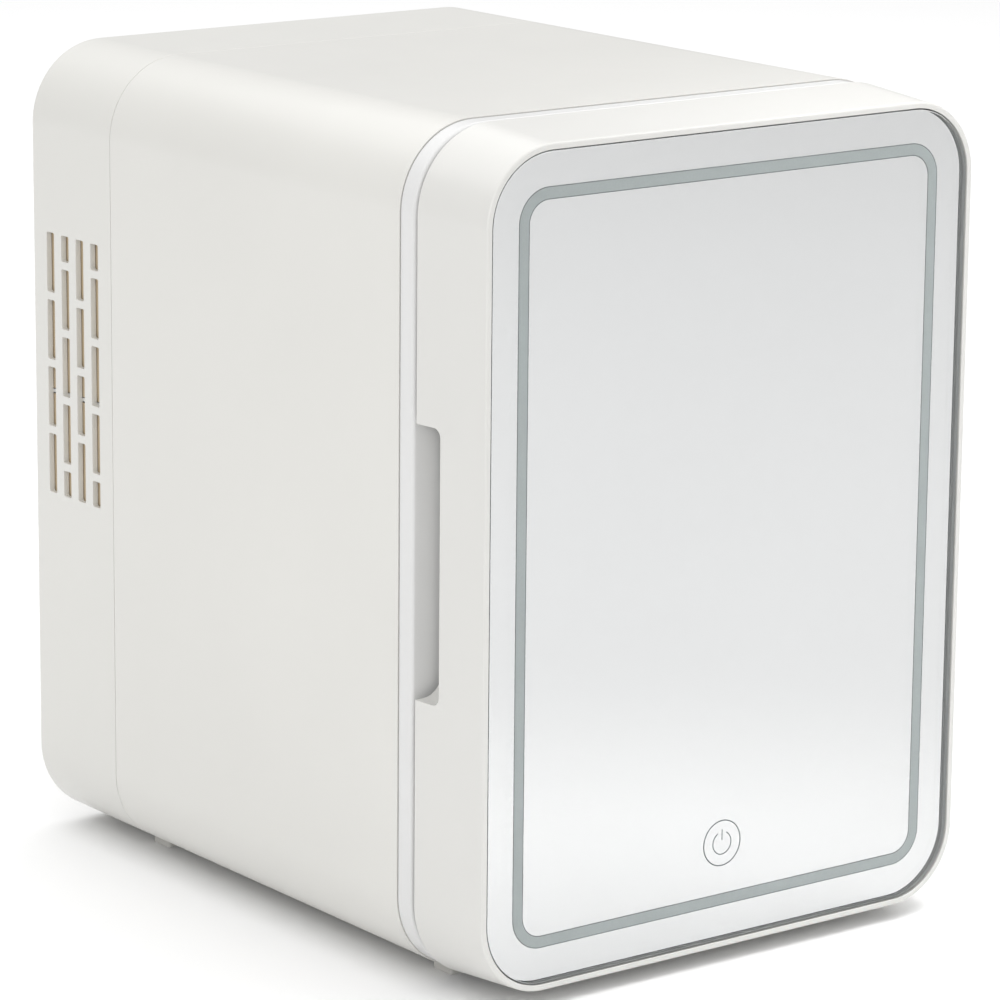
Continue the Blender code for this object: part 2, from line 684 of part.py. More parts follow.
def make_rear_cover(finish):
    """The rear cover: a tub open at the front, with vents, a fan grille and a socket panel."""
    cover = outline("rear_cover", 0, (COVER_FRONT, BACK), finish["gloss_white"],
                    fillet=COVER_FILLET, fillet_side=1)
    cut(cover, outline("cover_bore", WALL, (COVER_FRONT - OVER, BACK - WALL)))
    ribs = []
    for side in (-1, 1):
        wall = side * (HALF_WIDTH - WALL / 2)
        tip = side * (HALF_WIDTH - 0.010)
        ribs.append(block("rib", (min(wall, tip), max(wall, tip)), (COVER_FRONT + 0.002, BACK - 0.004),
                          (0.1903, 0.1918)))
    join(cover, merged("cover_ribs", ribs))
    slots = []
    for column in range(SLOT_COLUMNS):
        y = BACK - SLOT_BACK - column * SLOT_PITCH
        for low, high in side_slot_levels(column):
            for side in (-1, 1):
                x = side * HALF_WIDTH
                slots.append(block("slot", (x - WALL - 0.0005, x + WALL + 0.0005),
                                   (y - SLOT_WIDTH / 2, y + SLOT_WIDTH / 2), (low, high)))
    cut(cover, merged("side_vents", slots))
    slots = []
    pitch = 0.0068
    reach = HOT_FAN_SIZE / 2 - 0.002
    for index in range(11):
        offset = (index - 5) * pitch
        half = math.sqrt(reach ** 2 - offset ** 2)
        for side in (-1, 1):
            x = sorted((side * 0.0015, side * half))
            slots.append(block("slot", x, (BACK - WALL - OVER, BACK + OVER),
                               (UNIT_HEIGHT + offset - 0.0021, UNIT_HEIGHT + offset + 0.0021)))
    cut(cover, merged("fan_vents", slots))
    make_socket_panel(cover)
    for x in (-SCREW_X, SCREW_X):
        for z in (SCREW_LOW, SCREW_HIGH):
            cut(cover, rod("screw_hole", 0.0019, (x, BACK - 0.006, z), (x, BACK + OVER, z), steps=12))
            cut(cover, rod("screw_sink", 0.0038, (x, BACK - SCREW_SINK, z), (x, BACK + OVER, z), steps=16))
    for side in (-1, 1):
        cut(cover, foot_hole("cover_foot_hole", side, FOOT_BACK))
    return cover


def socket_panel_back():
    """Y of the sunken panel's face."""
    return BACK - SOCKET_PANEL_DEPTH


def make_socket_panel(cover):
    """The sunken panel with openings for the switch, the mains inlet and the low-voltage inlet."""
    face = socket_panel_back()
    z = (SOCKET_HEIGHT - 0.016, SOCKET_HEIGHT + 0.016)
    join(cover, block("panel_backing", (-0.082, 0.082), (face - WALL, BACK - WALL / 2),
                      (z[0] - WALL, z[1] + WALL)))
    cut(cover, block("panel_sink", (-0.0795, 0.0795), (face, BACK + OVER), z, corner=0.004, steps=3))
    y = (face - WALL - OVER, face + OVER)
    cut(cover, block("switch_opening", (SWITCH_X - 0.0103, SWITCH_X + 0.0103), y,
                     (SOCKET_HEIGHT - 0.0070, SOCKET_HEIGHT + 0.0070)))
    cut(cover, block("mains_opening", (MAINS_X - 0.0113, MAINS_X + 0.0113), y,
                     (SOCKET_HEIGHT - 0.0063, SOCKET_HEIGHT + 0.0063), corner=0.0062, steps=5))
    cut(cover, rod("low_volt_opening", 0.0058, (LOW_VOLT_X, y[0], SOCKET_HEIGHT),
                   (LOW_VOLT_X, y[1], SOCKET_HEIGHT), steps=20))


def make_mode_switch(finish):
    """The three-position rocker switch: housing and rocker."""
    face = socket_panel_back() + GAP
    z = SOCKET_HEIGHT
    housing = block("mode_switch_housing", (SWITCH_X - 0.0100, SWITCH_X + 0.0100),
                    (face - 0.014, face + 0.0006), (z - 0.0067, z + 0.0067), finish["black"])
    join(housing, block("switch_flange", (SWITCH_X - 0.0122, SWITCH_X + 0.0122),
                        (face, face + 0.0013), (z - 0.0088, z + 0.0088), corner=0.0012, steps=2))
    cut(housing, block("switch_room", (SWITCH_X - 0.0080, SWITCH_X + 0.0080),
                       (face - 0.0085, face + OVER), (z - 0.0048, z + 0.0048)))
    pivot_y = face - 0.0018
    cut(housing, rod("switch_pivot_hole", 0.0013, (SWITCH_X, pivot_y, z - 0.0060),
                     (SWITCH_X, pivot_y, z + 0.0060), steps=16))
    shape = bmesh.new()
    profile = [(-0.0071, -0.0035), (0.0071, -0.0035), (0.0071, 0.0040), (0.0035, 0.0032),
               (0.0, 0.0029), (-0.0035, 0.0032), (-0.0071, 0.0040)]
    low = [shape.verts.new((x, y, -0.0043)) for x, y in profile]
    high = [shape.verts.new((x, y, 0.0043)) for x, y in profile]
    shape.faces.new(reversed(low))
    shape.faces.new(high)
    for index in range(len(profile)):
        after = (index + 1) % len(profile)
        shape.faces.new((low[index], low[after], high[after], high[index]))
    rocker = put("mode_switch_rocker", mesh_from("mode_switch_rocker", shape), finish["black"],
                 (SWITCH_X, pivot_y, z))
    join(rocker, rod("rocker_axle", 0.0010, (SWITCH_X, pivot_y, z - 0.0057),
                     (SWITCH_X, pivot_y, z + 0.0057), steps=12))
    return housing, rocker


def make_mains_inlet(finish):
    """The two-pin mains inlet."""
    face = socket_panel_back() + GAP
    z = SOCKET_HEIGHT
    inlet = block("mains_inlet", (MAINS_X - 0.0110, MAINS_X + 0.0110), (face - 0.016, face + 0.0006),
                  (z - 0.0060, z + 0.0060), finish["black"], corner=0.0059, steps=5)
    join(inlet, block("mains_flange", (MAINS_X - 0.0140, MAINS_X + 0.0140), (face, face + 0.0016),
                      (z - 0.0085, z + 0.0085), corner=0.0030, steps=3))
    cut(inlet, block("mains_room", (MAINS_X - 0.0090, MAINS_X + 0.0090), (face - 0.0125, face + OVER),
                     (z - 0.0040, z + 0.0040), corner=0.0039, steps=5))
    pins = [rod("pin", 0.0012, (MAINS_X + side * 0.0043, face - 0.0135, z),
                (MAINS_X + side * 0.0043, face - 0.0030, z), steps=12) for side in (-1, 1)]
    join(inlet, merged("mains_pins", pins))
    return inlet


def make_low_volt_inlet(finish):
    """The round low-voltage inlet with its centre pin."""
    face = socket_panel_back() + GAP
    profile = [(0.0, -0.0005), (0.0010, -0.0005), (0.0010, -0.0105), (0.0028, -0.0105),
               (0.0028, 0.0012), (0.0075, 0.0012), (0.0075, 0.0), (0.0054, 0.0),
               (0.0054, -0.0130), (0.0, -0.0130)]
    return turned("low_volt_inlet", profile, (LOW_VOLT_X, face, SOCKET_HEIGHT), finish["black"],
                  steps=20, face_back=True)


def make_cover_screw(name, x, z, finish):
    """A pan-head screw that holds the rear cover, with a cross recess."""
    profile = [(0, 0.0010), (0.0020, 0.0009), (0.0034, 0.0004), (0.0034, 0),
               (0.0011, 0), (0.0011, -0.0110), (0, -0.0120)]
    screw = turned(name, profile, (x, BACK - SCREW_SINK + GAP, z), finish, steps=12,
                   face_back=True)
    y = (BACK - SCREW_SINK + 0.0007, BACK + OVER)
    arms = [block("arm", (x - 0.0018, x + 0.0018), y, (z - 0.0004, z + 0.0004)),
            block("arm", (x - 0.0004, x + 0.0004), y, (z - 0.0018, z + 0.0018))]
    for arm in arms:
        cut(screw, arm)
    return screw


def board(name, limits, finish, components):
    """A circuit board across Y with its components as simple blocks on its back."""
    x, z = limits
    y = BOARD_FRONT
    plate = block(name, x, (y, y + 0.0016), z, finish)
    bodies = []
    for across, up, width, height, depth in components:
        centre_x = x[0] + across * (x[1] - x[0])
        centre_z = z[0] + up * (z[1] - z[0])
        bodies.append(block("component", (centre_x - width / 2, centre_x + width / 2),
                            (y + 0.0008, y + 0.0016 + depth),
                            (centre_z - height / 2, centre_z + height / 2)))
    join(plate, merged(name + "_components", bodies))
    return plate


def make_foot(name, x, y, finish):
    """A push-in rubber foot: a block with a hollow underside and a stem through the shell."""
    top = BOTTOM - GAP
    foot = block(name, (x - FOOT_SIZE[0] / 2, x + FOOT_SIZE[0] / 2),
                 (y - FOOT_SIZE[1] / 2, y + FOOT_SIZE[1] / 2), (0, top), finish, corner=0.0015, steps=3,
                 axis=2)
    join(foot, rod(name + "_stem", 0.0025, (x, y, top - 0.001), (x, y, top + 0.0029), steps=20))
    cut(foot, rod(name + "_hollow", 0.003, (x, y, -OVER), (x, y, 0.0015), steps=20))
    return foot


# ---- Door ----------------------------------------------------------------------------------
def make_door_shell(finish):
    """The door's outer shell: bezel, glass ledge, finger grip and hinge corners in one moulding."""
    shell = outline("door_shell", 0, (FRONT, DOOR_BACK), finish["door_white"], fillet=DOOR_FILLET)
    slope_sides(shell, DOOR_DRAFT, DOOR_DEPTH)
    ledge_front = GLASS_BACK + GAP
    ledge_back = ledge_front + LEDGE_THICKNESS
    cut(shell, outline("door_hollow", DOOR_WALL, (ledge_back, DOOR_BACK + OVER)))
    cut(shell, outline("glass_recess", BEZEL, (FRONT - OVER, ledge_front)))
    cut(shell, outline("ledge_window", BEZEL + LEDGE_WIDTH, (ledge_front - OVER, ledge_back + OVER)))
    grip_y = (DOOR_BACK - GRIP_REACH, DOOR_BACK)
    join(shell, block("grip_body", (-HALF_WIDTH + 0.0024, -HALF_WIDTH + GRIP_DEPTH + GRIP_WALL),
                      (grip_y[0] - GRIP_WALL, DOOR_BACK - 0.0001),
                      (GRIP_BOTTOM - GRIP_WALL, GRIP_TOP + GRIP_WALL)))
    cut(shell, grip_cutter(grip_y))
    for level in (-1, 1):
        z = MIDDLE + level * HINGE_OFFSET
        half = PIN_REACH + 0.0020
        join(shell, block("hinge_corner", (HINGE_X - 0.0080, HALF_WIDTH - 0.0024),
                          (HINGE_Y - 0.0130, DOOR_BACK - 0.0001), (z - half, z + half)))
        notch = LUG_HEIGHT / 2 + NOTCH_CLEARANCE
        cut(shell, block("hinge_notch", (HINGE_X - NOTCH_LEFT, HALF_WIDTH + OVER),
                         (HINGE_Y - NOTCH_FRONT, DOOR_BACK + OVER), (z - notch, z + notch)))
        hole = PIN_REACH + GAP
        cut(shell, rod("pin_hole", PIN_RADIUS + GAP, (HINGE_X, HINGE_Y, z - hole),
                       (HINGE_X, HINGE_Y, z + hole), steps=12))
    return shell


def slope_sides(piece, draft, depth):
    """Slope the sides of a slab with the fridge's outline: its front end is set in by the draft."""
    core = Vector((HALF_WIDTH - CORNER, 0, HALF_HEIGHT - CORNER))
    for vert in piece.data.vertices:
        place = vert.co
        out = Vector((place.x - max(-core.x, min(core.x, place.x)), 0,
                      place.z - max(-core.z, min(core.z, place.z))))
        share = 0.5 - place.y / depth
        vert.co = place - out.normalized() * draft * share


def grip_cutter(grip_y):
    """The scoop for the fingers, open to the side and to the back of the door."""
    shape = bmesh.new()
    bmesh.ops.create_cube(shape, size=1.0)
    x = (-HALF_WIDTH - OVER, -HALF_WIDTH + GRIP_DEPTH)
    y = (grip_y[0], grip_y[1] + OVER)
    size = Vector((x[1] - x[0], y[1] - y[0], GRIP_TOP - GRIP_BOTTOM))
    bmesh.ops.scale(shape, vec=size, verts=shape.verts)
    round_edges(shape, edges_along(shape, 1, lambda middle: middle.x > 0), 0.009, 6)
    rim = edges_in_plane(shape, 1, -size.y / 2)
    rim = [edge for edge in rim if max(vert.co.x for vert in edge.verts) > -size.x / 2 + 1e-6]
    round_edges(shape, rim, 0.0035, 3)
    centre = ((x[0] + x[1]) / 2, (y[0] + y[1]) / 2, (GRIP_TOP + GRIP_BOTTOM) / 2)
    return put("grip_scoop", mesh_from("grip_scoop", shape), None, centre)


def door_clearances(prefix, y, margin):
    """Blocks that keep a layer of the door clear of the grip and of the hinge corners."""
    found = [block(prefix + "_grip", (-HALF_WIDTH - OVER, -HALF_WIDTH + GRIP_DEPTH + GRIP_WALL + margin), y,
                   (GRIP_BOTTOM - GRIP_WALL - margin, GRIP_TOP + GRIP_WALL + margin))]
    for level in (-1, 1):
        z = MIDDLE + level * HINGE_OFFSET
        half = PIN_REACH + 0.0020 + margin
        found.append(block(prefix + "_hinge", (HINGE_X - 0.0080 - margin, HALF_WIDTH + OVER), y,
                           (z - half, z + half)))
    return merged(prefix + "_clearances", found)


def make_mirror(finish):
    """The mirror glass that fills the bezel."""
    return outline("mirror_glass", BEZEL + GLASS_GAP, (GLASS_FRONT, GLASS_BACK), finish["mirror"],
                   fillet=0.0005, fillet_steps=1)


def ring(name, inset, width, y, finish):
    """A flat ring that follows the fridge's outline."""
    made = outline(name, inset, y, finish)
    cut(made, outline(name + "_hole", inset + width, (y[0] - OVER, y[1] + OVER)))
    return made


def make_lighting(finish):
    """Light guide and lamp strip behind the frosted band, and the touch board."""
    guide_inset = BEZEL + LEDGE_WIDTH + 0.0004
    front = GLASS_BACK + GAP
    guide_width = 2 * (STRIP_INSET + STRIP_WIDTH / 2 - guide_inset)
    guide = ring("light_guide", guide_inset, guide_width, (front, front + 0.0030), finish["clear"])
    lamps = ring("led_strip", guide_inset + guide_width + GAP, 0.0040, (front, front + 0.0012),
                 finish["led_board"])
    touch = block("touch_board", (-0.016, 0.016), (front, front + 0.0016),
                  (KEY_HEIGHT - 0.0100, KEY_HEIGHT + 0.0120), finish["board"])
    return guide, lamps, touch


def make_door_layers(finish):
    """Back plate, foam, inner panel with its plug rim, gasket, bin and magnets."""
    plate_front = GLASS_BACK + GAP + 0.0030 + 0.0004
    plate = outline("mirror_back_plate", DOOR_WALL + 0.0004, (plate_front, plate_front + 0.0018),
                    finish["liner_white"])
    panel_front = DOOR_BACK - 0.0006 - PANEL_THICKNESS
    panel_y = (panel_front, panel_front + PANEL_THICKNESS)
    foam_y = (plate_front + 0.0018 + GAP, panel_front - GAP)
    foam = outline("door_insulation", DOOR_WALL + 0.0005, foam_y, finish["foam"])
    cut(foam, door_clearances("foam", (foam_y[0] - OVER, foam_y[1] + OVER), 0.0006))
    panel = outline("door_inner_panel", DOOR_WALL + 0.0004, panel_y, finish["liner_white"])
    cut(panel, door_clearances("panel", (panel_y[0] - OVER, panel_y[1] + OVER), 0.0004))
    rim_z = (ROOM_BOTTOM + 0.0045, ROOM_TOP - 0.0045)
    rim = block("plug_rim", (-PLUG_HALF_WIDTH, PLUG_HALF_WIDTH), (panel_y[0] + 0.001, PLUG_BACK), rim_z,
                corner=0.010, steps=4, fillet=0.003, fillet_steps=2, fillet_side=1)
    inner = PLUG_HALF_WIDTH - PLUG_RIM
    well = block("plug_well", (-inner, inner), (panel_y[1], PLUG_BACK + OVER),
                 (rim_z[0] + PLUG_RIM, rim_z[1] - PLUG_RIM), corner=0.005, steps=3)
    join(panel, rim)
    cut(panel, well)
    gasket = ring("door_gasket", 0.0160, 0.0075, (panel_y[1] + GAP, FRAME_FRONT - GAP),
                  finish["rubber_grey"])
    magnets = []
    for name, z in (("door_magnet_lower", 0.100), ("door_magnet_upper", 0.239)):
        place = ((-0.098, -0.090), (foam_y[1] - 0.003, foam_y[1]), (z - 0.020, z + 0.020))
        magnets.append(block(name, *place, finish["steel"]))
        cut(foam, block("magnet_pocket", (-0.0984, -0.0896), (foam_y[1] - 0.0034, foam_y[1] + OVER),
                        (z - 0.0204, z + 0.0204)))
    door_bin = make_door_bin(finish, panel_y[1], inner, rim_z[0] + PLUG_RIM)
    return [plate, foam, panel, gasket, door_bin] + magnets


def make_door_bin(finish, back_of_panel, half_width, floor):
    """The open bin between the plug's rims, low on the door."""
    half = half_width - 0.0008
    y = (back_of_panel + 0.0004, -0.0700)
    z = (floor + 0.0054, floor + 0.062)
    wall = 0.0018
    tray = block("door_bin", (-half, half), y, z, finish["clear"], corner=0.006, steps=4, axis=2)
    cut(tray, block("bin_room", (-half + wall, half - wall), (y[0] + wall, y[1] - wall),
                    (z[0] + wall, z[1] + OVER), corner=0.0045, steps=4, axis=2))
    return tray


def make_strike_plates(finish):
    """Steel plates behind the frame's face that the door's magnets pull on."""
    y = FRAME_FRONT + WALL + GAP
    return [block(name, (-0.1000, -0.0940), (y, y + 0.0016), (z - 0.020, z + 0.020), finish["steel"])
            for name, z in (("strike_plate_lower", 0.100), ("strike_plate_upper", 0.239))]


def make_hinge_hardware(finish):
    """Bushes that sit in the frame's lugs, and the pins that turn with the door, which it returns."""
    pins = []
    for name, level in (("lower", -1), ("upper", 1)):
        z = MIDDLE + level * HINGE_OFFSET
        pins.append(turned("hinge_pin_" + name,
                           [(0, PIN_REACH), (PIN_RADIUS - 0.0003, PIN_REACH),
                            (PIN_RADIUS, PIN_REACH - 0.0003), (PIN_RADIUS, 0.0003 - PIN_REACH),
                            (PIN_RADIUS - 0.0003, -PIN_REACH), (0, -PIN_REACH)],
                           (HINGE_X, HINGE_Y, z), finish["steel"], steps=12))
        half = LUG_HEIGHT / 2 + GAP
        turned("hinge_bush_" + name,
               [(BUSH_RADIUS, half), (BUSH_RADIUS, -half),
                (PIN_RADIUS + GAP, -half), (PIN_RADIUS + GAP, half)],
               (HINGE_X, HINGE_Y, z), finish["brass"], steps=16)
    return pins


# ---- Leads ---------------------------------------------------------------------------------
def lead(name, knots, finish, radius=0.0011, samples=4):
    """A thin lead along a smooth curve through its knots."""
    curve = bpy.data.curves.new(name, "CURVE")
    curve.dimensions = "3D"
    curve.bevel_depth = radius
    curve.bevel_resolution = 2
    curve.use_fill_caps = True
    points = smooth_route(knots, samples)
    line = curve.splines.new("POLY")
    line.points.add(len(points) - 1)
    for point, place in zip(line.points, points):
        point.co = (*place, 1)
    curve.materials.append(finish)
    made = bpy.data.objects.new(name, curve)
    parts.objects.link(made)
    return made


def smooth_route(knots, samples):
    """Points of a Catmull-Rom curve through the knots."""
    knots = [Vector(knot) for knot in knots]
    padded = [2 * knots[0] - knots[1]] + knots + [2 * knots[-1] - knots[-2]]
    points = []
    for a, b, c, d in zip(padded, padded[1:], padded[2:], padded[3:]):
        for index in range(samples):
            t = index / samples
            points.append(0.5 * (2 * b + (c - a) * t + (2 * a - 5 * b + 4 * c - d) * t ** 2
                                 + (3 * b - a - 3 * c + d) * t ** 3))
    points.append(knots[-1])
    return points


def make_leads(finish):
    """Leads from the control board to the hot fan and to the thermoelectric module."""
    lead("fan_lead", ((0.0710, 0.1105, 0.2145), (0.0660, 0.1190, 0.2240), (0.0560, 0.1280, 0.2260),
                      (0.0465, 0.1335, 0.2170), (0.0414, 0.1345, 0.2020)), finish["black"])
    run = (PARTITION_BACK + HOT_BASE_FRONT) / 2
    for name, z, colour in (("module_lead_black", 0.1665, "black"),
                            ("module_lead_red", 0.1735, "lead_red")):
        lead(name, ((BLOCK_HALF + GAP, run, z), (0.0340, run, z), (0.0520, run, z),
                    (0.0600, 0.0970, z), (0.0680, 0.1015, z + 0.0020)), finish[colour], radius=0.0008,
             samples=3)


# ---- Assembly ------------------------------------------------------------------------------
def build():
    """Make every piece and hang the moving ones on their axes."""
    start_scene()
    finish = finishes()
    make_main_shell(finish)
    make_front_frame(finish)
    make_liner(finish)
    make_insulation(finish)
    make_shelf(finish)
    make_partition(finish)
    make_cold_side(finish)
    make_heat_sink(finish)
    make_fan("cold_fan", finish["black"], COLD_FAN_FRONT, COLD_FAN_SIZE, COLD_FAN_DEPTH, 0.010, 7,
             finish["black"])
    make_fan("hot_fan", finish["black"], HOT_FAN_FRONT, HOT_FAN_SIZE, HOT_FAN_DEPTH, 0.016, 7,
             finish["black"])
    make_cold_fan_cover(finish)
    make_rear_cover(finish)
    make_mode_switch(finish)
    make_mains_inlet(finish)
    make_low_volt_inlet(finish)
    for x, side in ((-SCREW_X, "left"), (SCREW_X, "right")):
        make_cover_screw("cover_screw_lower_" + side, x, SCREW_LOW, finish["steel"])
        make_cover_screw("cover_screw_upper_" + side, x, SCREW_HIGH, finish["steel"])
    board("power_supply_board", SUPPLY_BOARD, finish["board"],
          ((0.16, 0.5, 0.018, 0.018, 0.020), (0.48, 0.5, 0.026, 0.028, 0.018),
           (0.78, 0.35, 0.010, 0.010, 0.016), (0.78, 0.72, 0.010, 0.010, 0.016)))
    board("control_board", CONTROL_BOARD, finish["board"],
          ((0.3, 0.3, 0.012, 0.012, 0.004), (0.72, 0.3, 0.010, 0.016, 0.008),
           (0.5, 0.7, 0.022, 0.008, 0.010)))
    for x, side in ((-FOOT_X, "left"), (FOOT_X, "right")):
        make_foot("foot_front_" + side, x, FOOT_FRONT, finish["rubber_white"])
        make_foot("foot_rear_" + side, x, FOOT_BACK, finish["rubber_white"])
    make_strike_plates(finish)
    pins = make_hinge_hardware(finish)
    door = [make_door_shell(finish), make_mirror(finish), *make_lighting(finish),
            *make_door_layers(finish), *pins]
    door_axis = bpy.data.objects.new("door_axis", None)
    door_axis.location = (HINGE_X, HINGE_Y, MIDDLE)
    parts.objects.link(door_axis)
    hang_on(door_axis, door)
    make_leads(finish)
    bpy.context.view_layer.update()


build()
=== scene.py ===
"""Looks of the mini fridge: fine casing mouldings, mirror door, inside, back, studio light.

Units are metres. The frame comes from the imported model, and every place below is worked out from
the boxes of its nodes. The door faces -Y, its hinge is at +X, and +Z is up.
"""
import json
import math

import bmesh
import bpy
from mathutils import Matrix, Vector


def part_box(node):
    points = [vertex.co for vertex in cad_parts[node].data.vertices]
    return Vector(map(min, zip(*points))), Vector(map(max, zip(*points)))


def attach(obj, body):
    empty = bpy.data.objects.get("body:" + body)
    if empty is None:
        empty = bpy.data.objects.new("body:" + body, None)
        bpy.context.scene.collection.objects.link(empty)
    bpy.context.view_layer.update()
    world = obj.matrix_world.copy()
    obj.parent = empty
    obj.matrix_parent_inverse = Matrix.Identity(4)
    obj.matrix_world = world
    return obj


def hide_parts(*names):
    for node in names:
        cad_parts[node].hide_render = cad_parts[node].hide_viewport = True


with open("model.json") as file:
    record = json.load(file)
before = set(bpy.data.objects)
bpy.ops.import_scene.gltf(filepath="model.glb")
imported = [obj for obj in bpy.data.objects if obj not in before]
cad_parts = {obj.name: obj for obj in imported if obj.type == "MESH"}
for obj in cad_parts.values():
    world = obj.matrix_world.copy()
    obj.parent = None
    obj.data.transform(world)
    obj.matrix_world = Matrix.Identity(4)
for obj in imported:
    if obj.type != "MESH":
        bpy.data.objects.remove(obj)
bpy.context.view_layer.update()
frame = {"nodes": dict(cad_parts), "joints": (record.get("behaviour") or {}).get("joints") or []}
NODES = frame["nodes"]

# ---- Measures taken from the frame ----------------------------------------------------------
SHELL_LOW, SHELL_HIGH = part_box("main_shell")
DOOR_LOW, DOOR_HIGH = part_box("door_shell")
FRAME_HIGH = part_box("front_frame")[1]
COVER_LOW, COVER_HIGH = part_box("rear_cover")
GLASS_LOW, GLASS_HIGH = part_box("mirror_glass")
LINER_LOW, LINER_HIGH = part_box("inner_liner")
HOT_LOW, HOT_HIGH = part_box("hot_fan_frame")

HALF_WIDTH = SHELL_HIGH.x
MIDDLE = (SHELL_LOW.z + SHELL_HIGH.z) / 2
HALF_HEIGHT = (SHELL_HIGH.z - SHELL_LOW.z) / 2
CORNER = 0.033            # radius of the outline's corners
CORNER_STEPS = 20
GAP = 0.0003
OVER = 0.002
WALL = 0.0025

BEZEL = HALF_WIDTH - GLASS_HIGH.x - 0.0004
LEDGE_WIDTH = 0.008
DOOR_FILLET = 0.001
DOOR_DRAFT = 0.003        # how far the door's sides slope in from back to front
DOOR_WALL = 0.0048
COVER_FILLET = 0.003
STRIP_INSET = 0.0197
STRIP_WIDTH = 0.0042
KEY_HEIGHT = 0.0488
GRIP = ((-HALF_WIDTH, -HALF_WIDTH + 0.0125), (DOOR_HIGH.y - 0.0138, DOOR_HIGH.y), (0.1180, 0.2245))
GRIP_WALL = 0.0025
UNIT_HEIGHT = (HOT_LOW.z + HOT_HIGH.z) / 2
SLOT_WIDTH, SLOT_LENGTH, SLOT_BRIDGE, SLOT_PITCH = 0.0057, 0.025, 0.0033, 0.0112
SLOT_TOP, SLOT_BACK, SLOT_COLUMNS, SLOT_ROWS = 0.2584, 0.0147, 4, 4
SOCKET_HEIGHT, SWITCH_X, MAINS_X, LOW_VOLT_X = 0.046, 0.056, -0.058, -0.008
HINGE = next(joint for joint in frame["joints"] if joint["name"] == "door_hinge")["pos_m"]
LUG_OFFSET, LUG_HALF, LUG_RADIUS = 0.1205, 0.004, 0.0046
LUG_CLEARANCE = 0.001     # between a lug and the door's notch for it
BUSH_HOLE = 0.0031        # radius of the hole for a bush in a lug
SEAL_GAP = 0.0028         # between the door and the front collar
LAYER_DEPTH = 0.00003     # thickness of the printed layers on the mirror's back
LEAN = 0.0024             # the inner blocks start this far in, behind the door's sloping sides

CAMERA_PLACE = (-1.13219, -1.50251, 0.60467)
CAMERA_LENS = 170.363
CAMERA_HEADING = -37.140
CAMERA_TILT = 13.412      # downwards, in degrees
CAMERA_ROLL = 0.526
WORLD_STRENGTH = 0.52


# ---- Shapes ---------------------------------------------------------------------------------
def outline(inset, steps=CORNER_STEPS):
    """Points (x, z) of the fridge's rounded outline, set in by an equal amount all round."""
    radius = max(CORNER - inset, 0.0008)
    across = HALF_WIDTH - inset - radius
    up = HALF_HEIGHT - inset - radius
    points = []
    for turn, (side, level) in enumerate(((1, 1), (-1, 1), (-1, -1), (1, -1))):
        for step in range(steps + 1):
            angle = math.pi / 2 * (turn + step / steps)
            points.append((side * across + radius * math.cos(angle),
                           MIDDLE + level * up + radius * math.sin(angle)))
    return points


def arc(centre, radius, start, end, steps):
    """Points of an arc in the (inset, y) plane, angles in degrees."""
    found = []
    for step in range(steps + 1):
        angle = math.radians(start + (end - start) * step / steps)
        found.append((centre[0] + radius * math.cos(angle), centre[1] + radius * math.sin(angle)))
    return found


def new_piece(name, mesh, finish):
    """Link a mesh as a piece with its material."""
    piece = bpy.data.objects.new(name, mesh)
    bpy.context.scene.collection.objects.link(piece)
    mesh.materials.clear()
    if finish is not None:
        mesh.materials.append(finish)
    return piece


def mesh_of(name, shape):
    """Close a bmesh into a mesh with outward normals."""
    bmesh.ops.recalc_face_normals(shape, faces=shape.faces)
    mesh = bpy.data.meshes.new(name)
    shape.to_mesh(mesh)
    shape.free()
    return mesh


def sweep(name, profile, finish=None, loop=True, steps=CORNER_STEPS):
    """Carry a profile of (inset, y) points round the fridge's outline.

    loop joins the profile's end to its start; without it both ends are closed with flat faces.
    """
    shape = bmesh.new()
    rings = [[shape.verts.new((x, y, z)) for x, z in outline(inset, steps)] for inset, y in profile]
    pairs = list(zip(rings, rings[1:]))
    if loop:
        pairs.append((rings[-1], rings[0]))
    for a, b in pairs:
        for index in range(len(a)):
            after = (index + 1) % len(a)
            shape.faces.new((a[index], a[after], b[after], b[index]))
    if not loop:
        shape.faces.new(rings[0])
        shape.faces.new(reversed(rings[-1]))
    return new_piece(name, mesh_of(name, shape), finish)


def slab(name, x, y, z, finish=None, corner=0.0, steps=8, axis=1, rim=0.0, rim_steps=3, rim_side=-1):
    """A box between limits, with rounded edges along an axis and a rounded rim on one end face."""
    shape = bmesh.new()
    bmesh.ops.create_cube(shape, size=1.0)
    size = Vector((x[1] - x[0], y[1] - y[0], z[1] - z[0]))
    bmesh.ops.scale(shape, vec=size, verts=shape.verts)
    if corner > 0:
        edges = [edge for edge in shape.edges
                 if abs((edge.verts[1].co - edge.verts[0].co)[axis]) > 0.999 * edge.calc_length()]
        bmesh.ops.bevel(shape, geom=edges, offset=corner, segments=steps, profile=0.5, affect="EDGES")
    if rim > 0:
        level = rim_side * size[axis] / 2
        edges = [edge for edge in shape.edges
                 if all(abs(vert.co[axis] - level) < 1e-6 for vert in edge.verts)]
        bmesh.ops.bevel(shape, geom=edges, offset=rim, segments=rim_steps, profile=0.5, affect="EDGES")
    middle = Vector((x[0] + x[1], y[0] + y[1], z[0] + z[1])) / 2
    bmesh.ops.translate(shape, vec=middle, verts=shape.verts)
    return new_piece(name, mesh_of(name, shape), finish)


def rod(name, radius, start, end, finish=None, steps=32):
    """A round bar between two points."""
    start, end = Vector(start), Vector(end)
    shape = bmesh.new()
    bmesh.ops.create_cone(shape, cap_ends=True, segments=steps, radius1=radius, radius2=radius,
                          depth=(end - start).length)
    turn = Vector((0, 0, 1)).rotation_difference(end - start).to_matrix().to_4x4()
    bmesh.ops.transform(shape, matrix=Matrix.Translation((start + end) / 2) @ turn, verts=shape.verts)
    return new_piece(name, mesh_of(name, shape), finish)


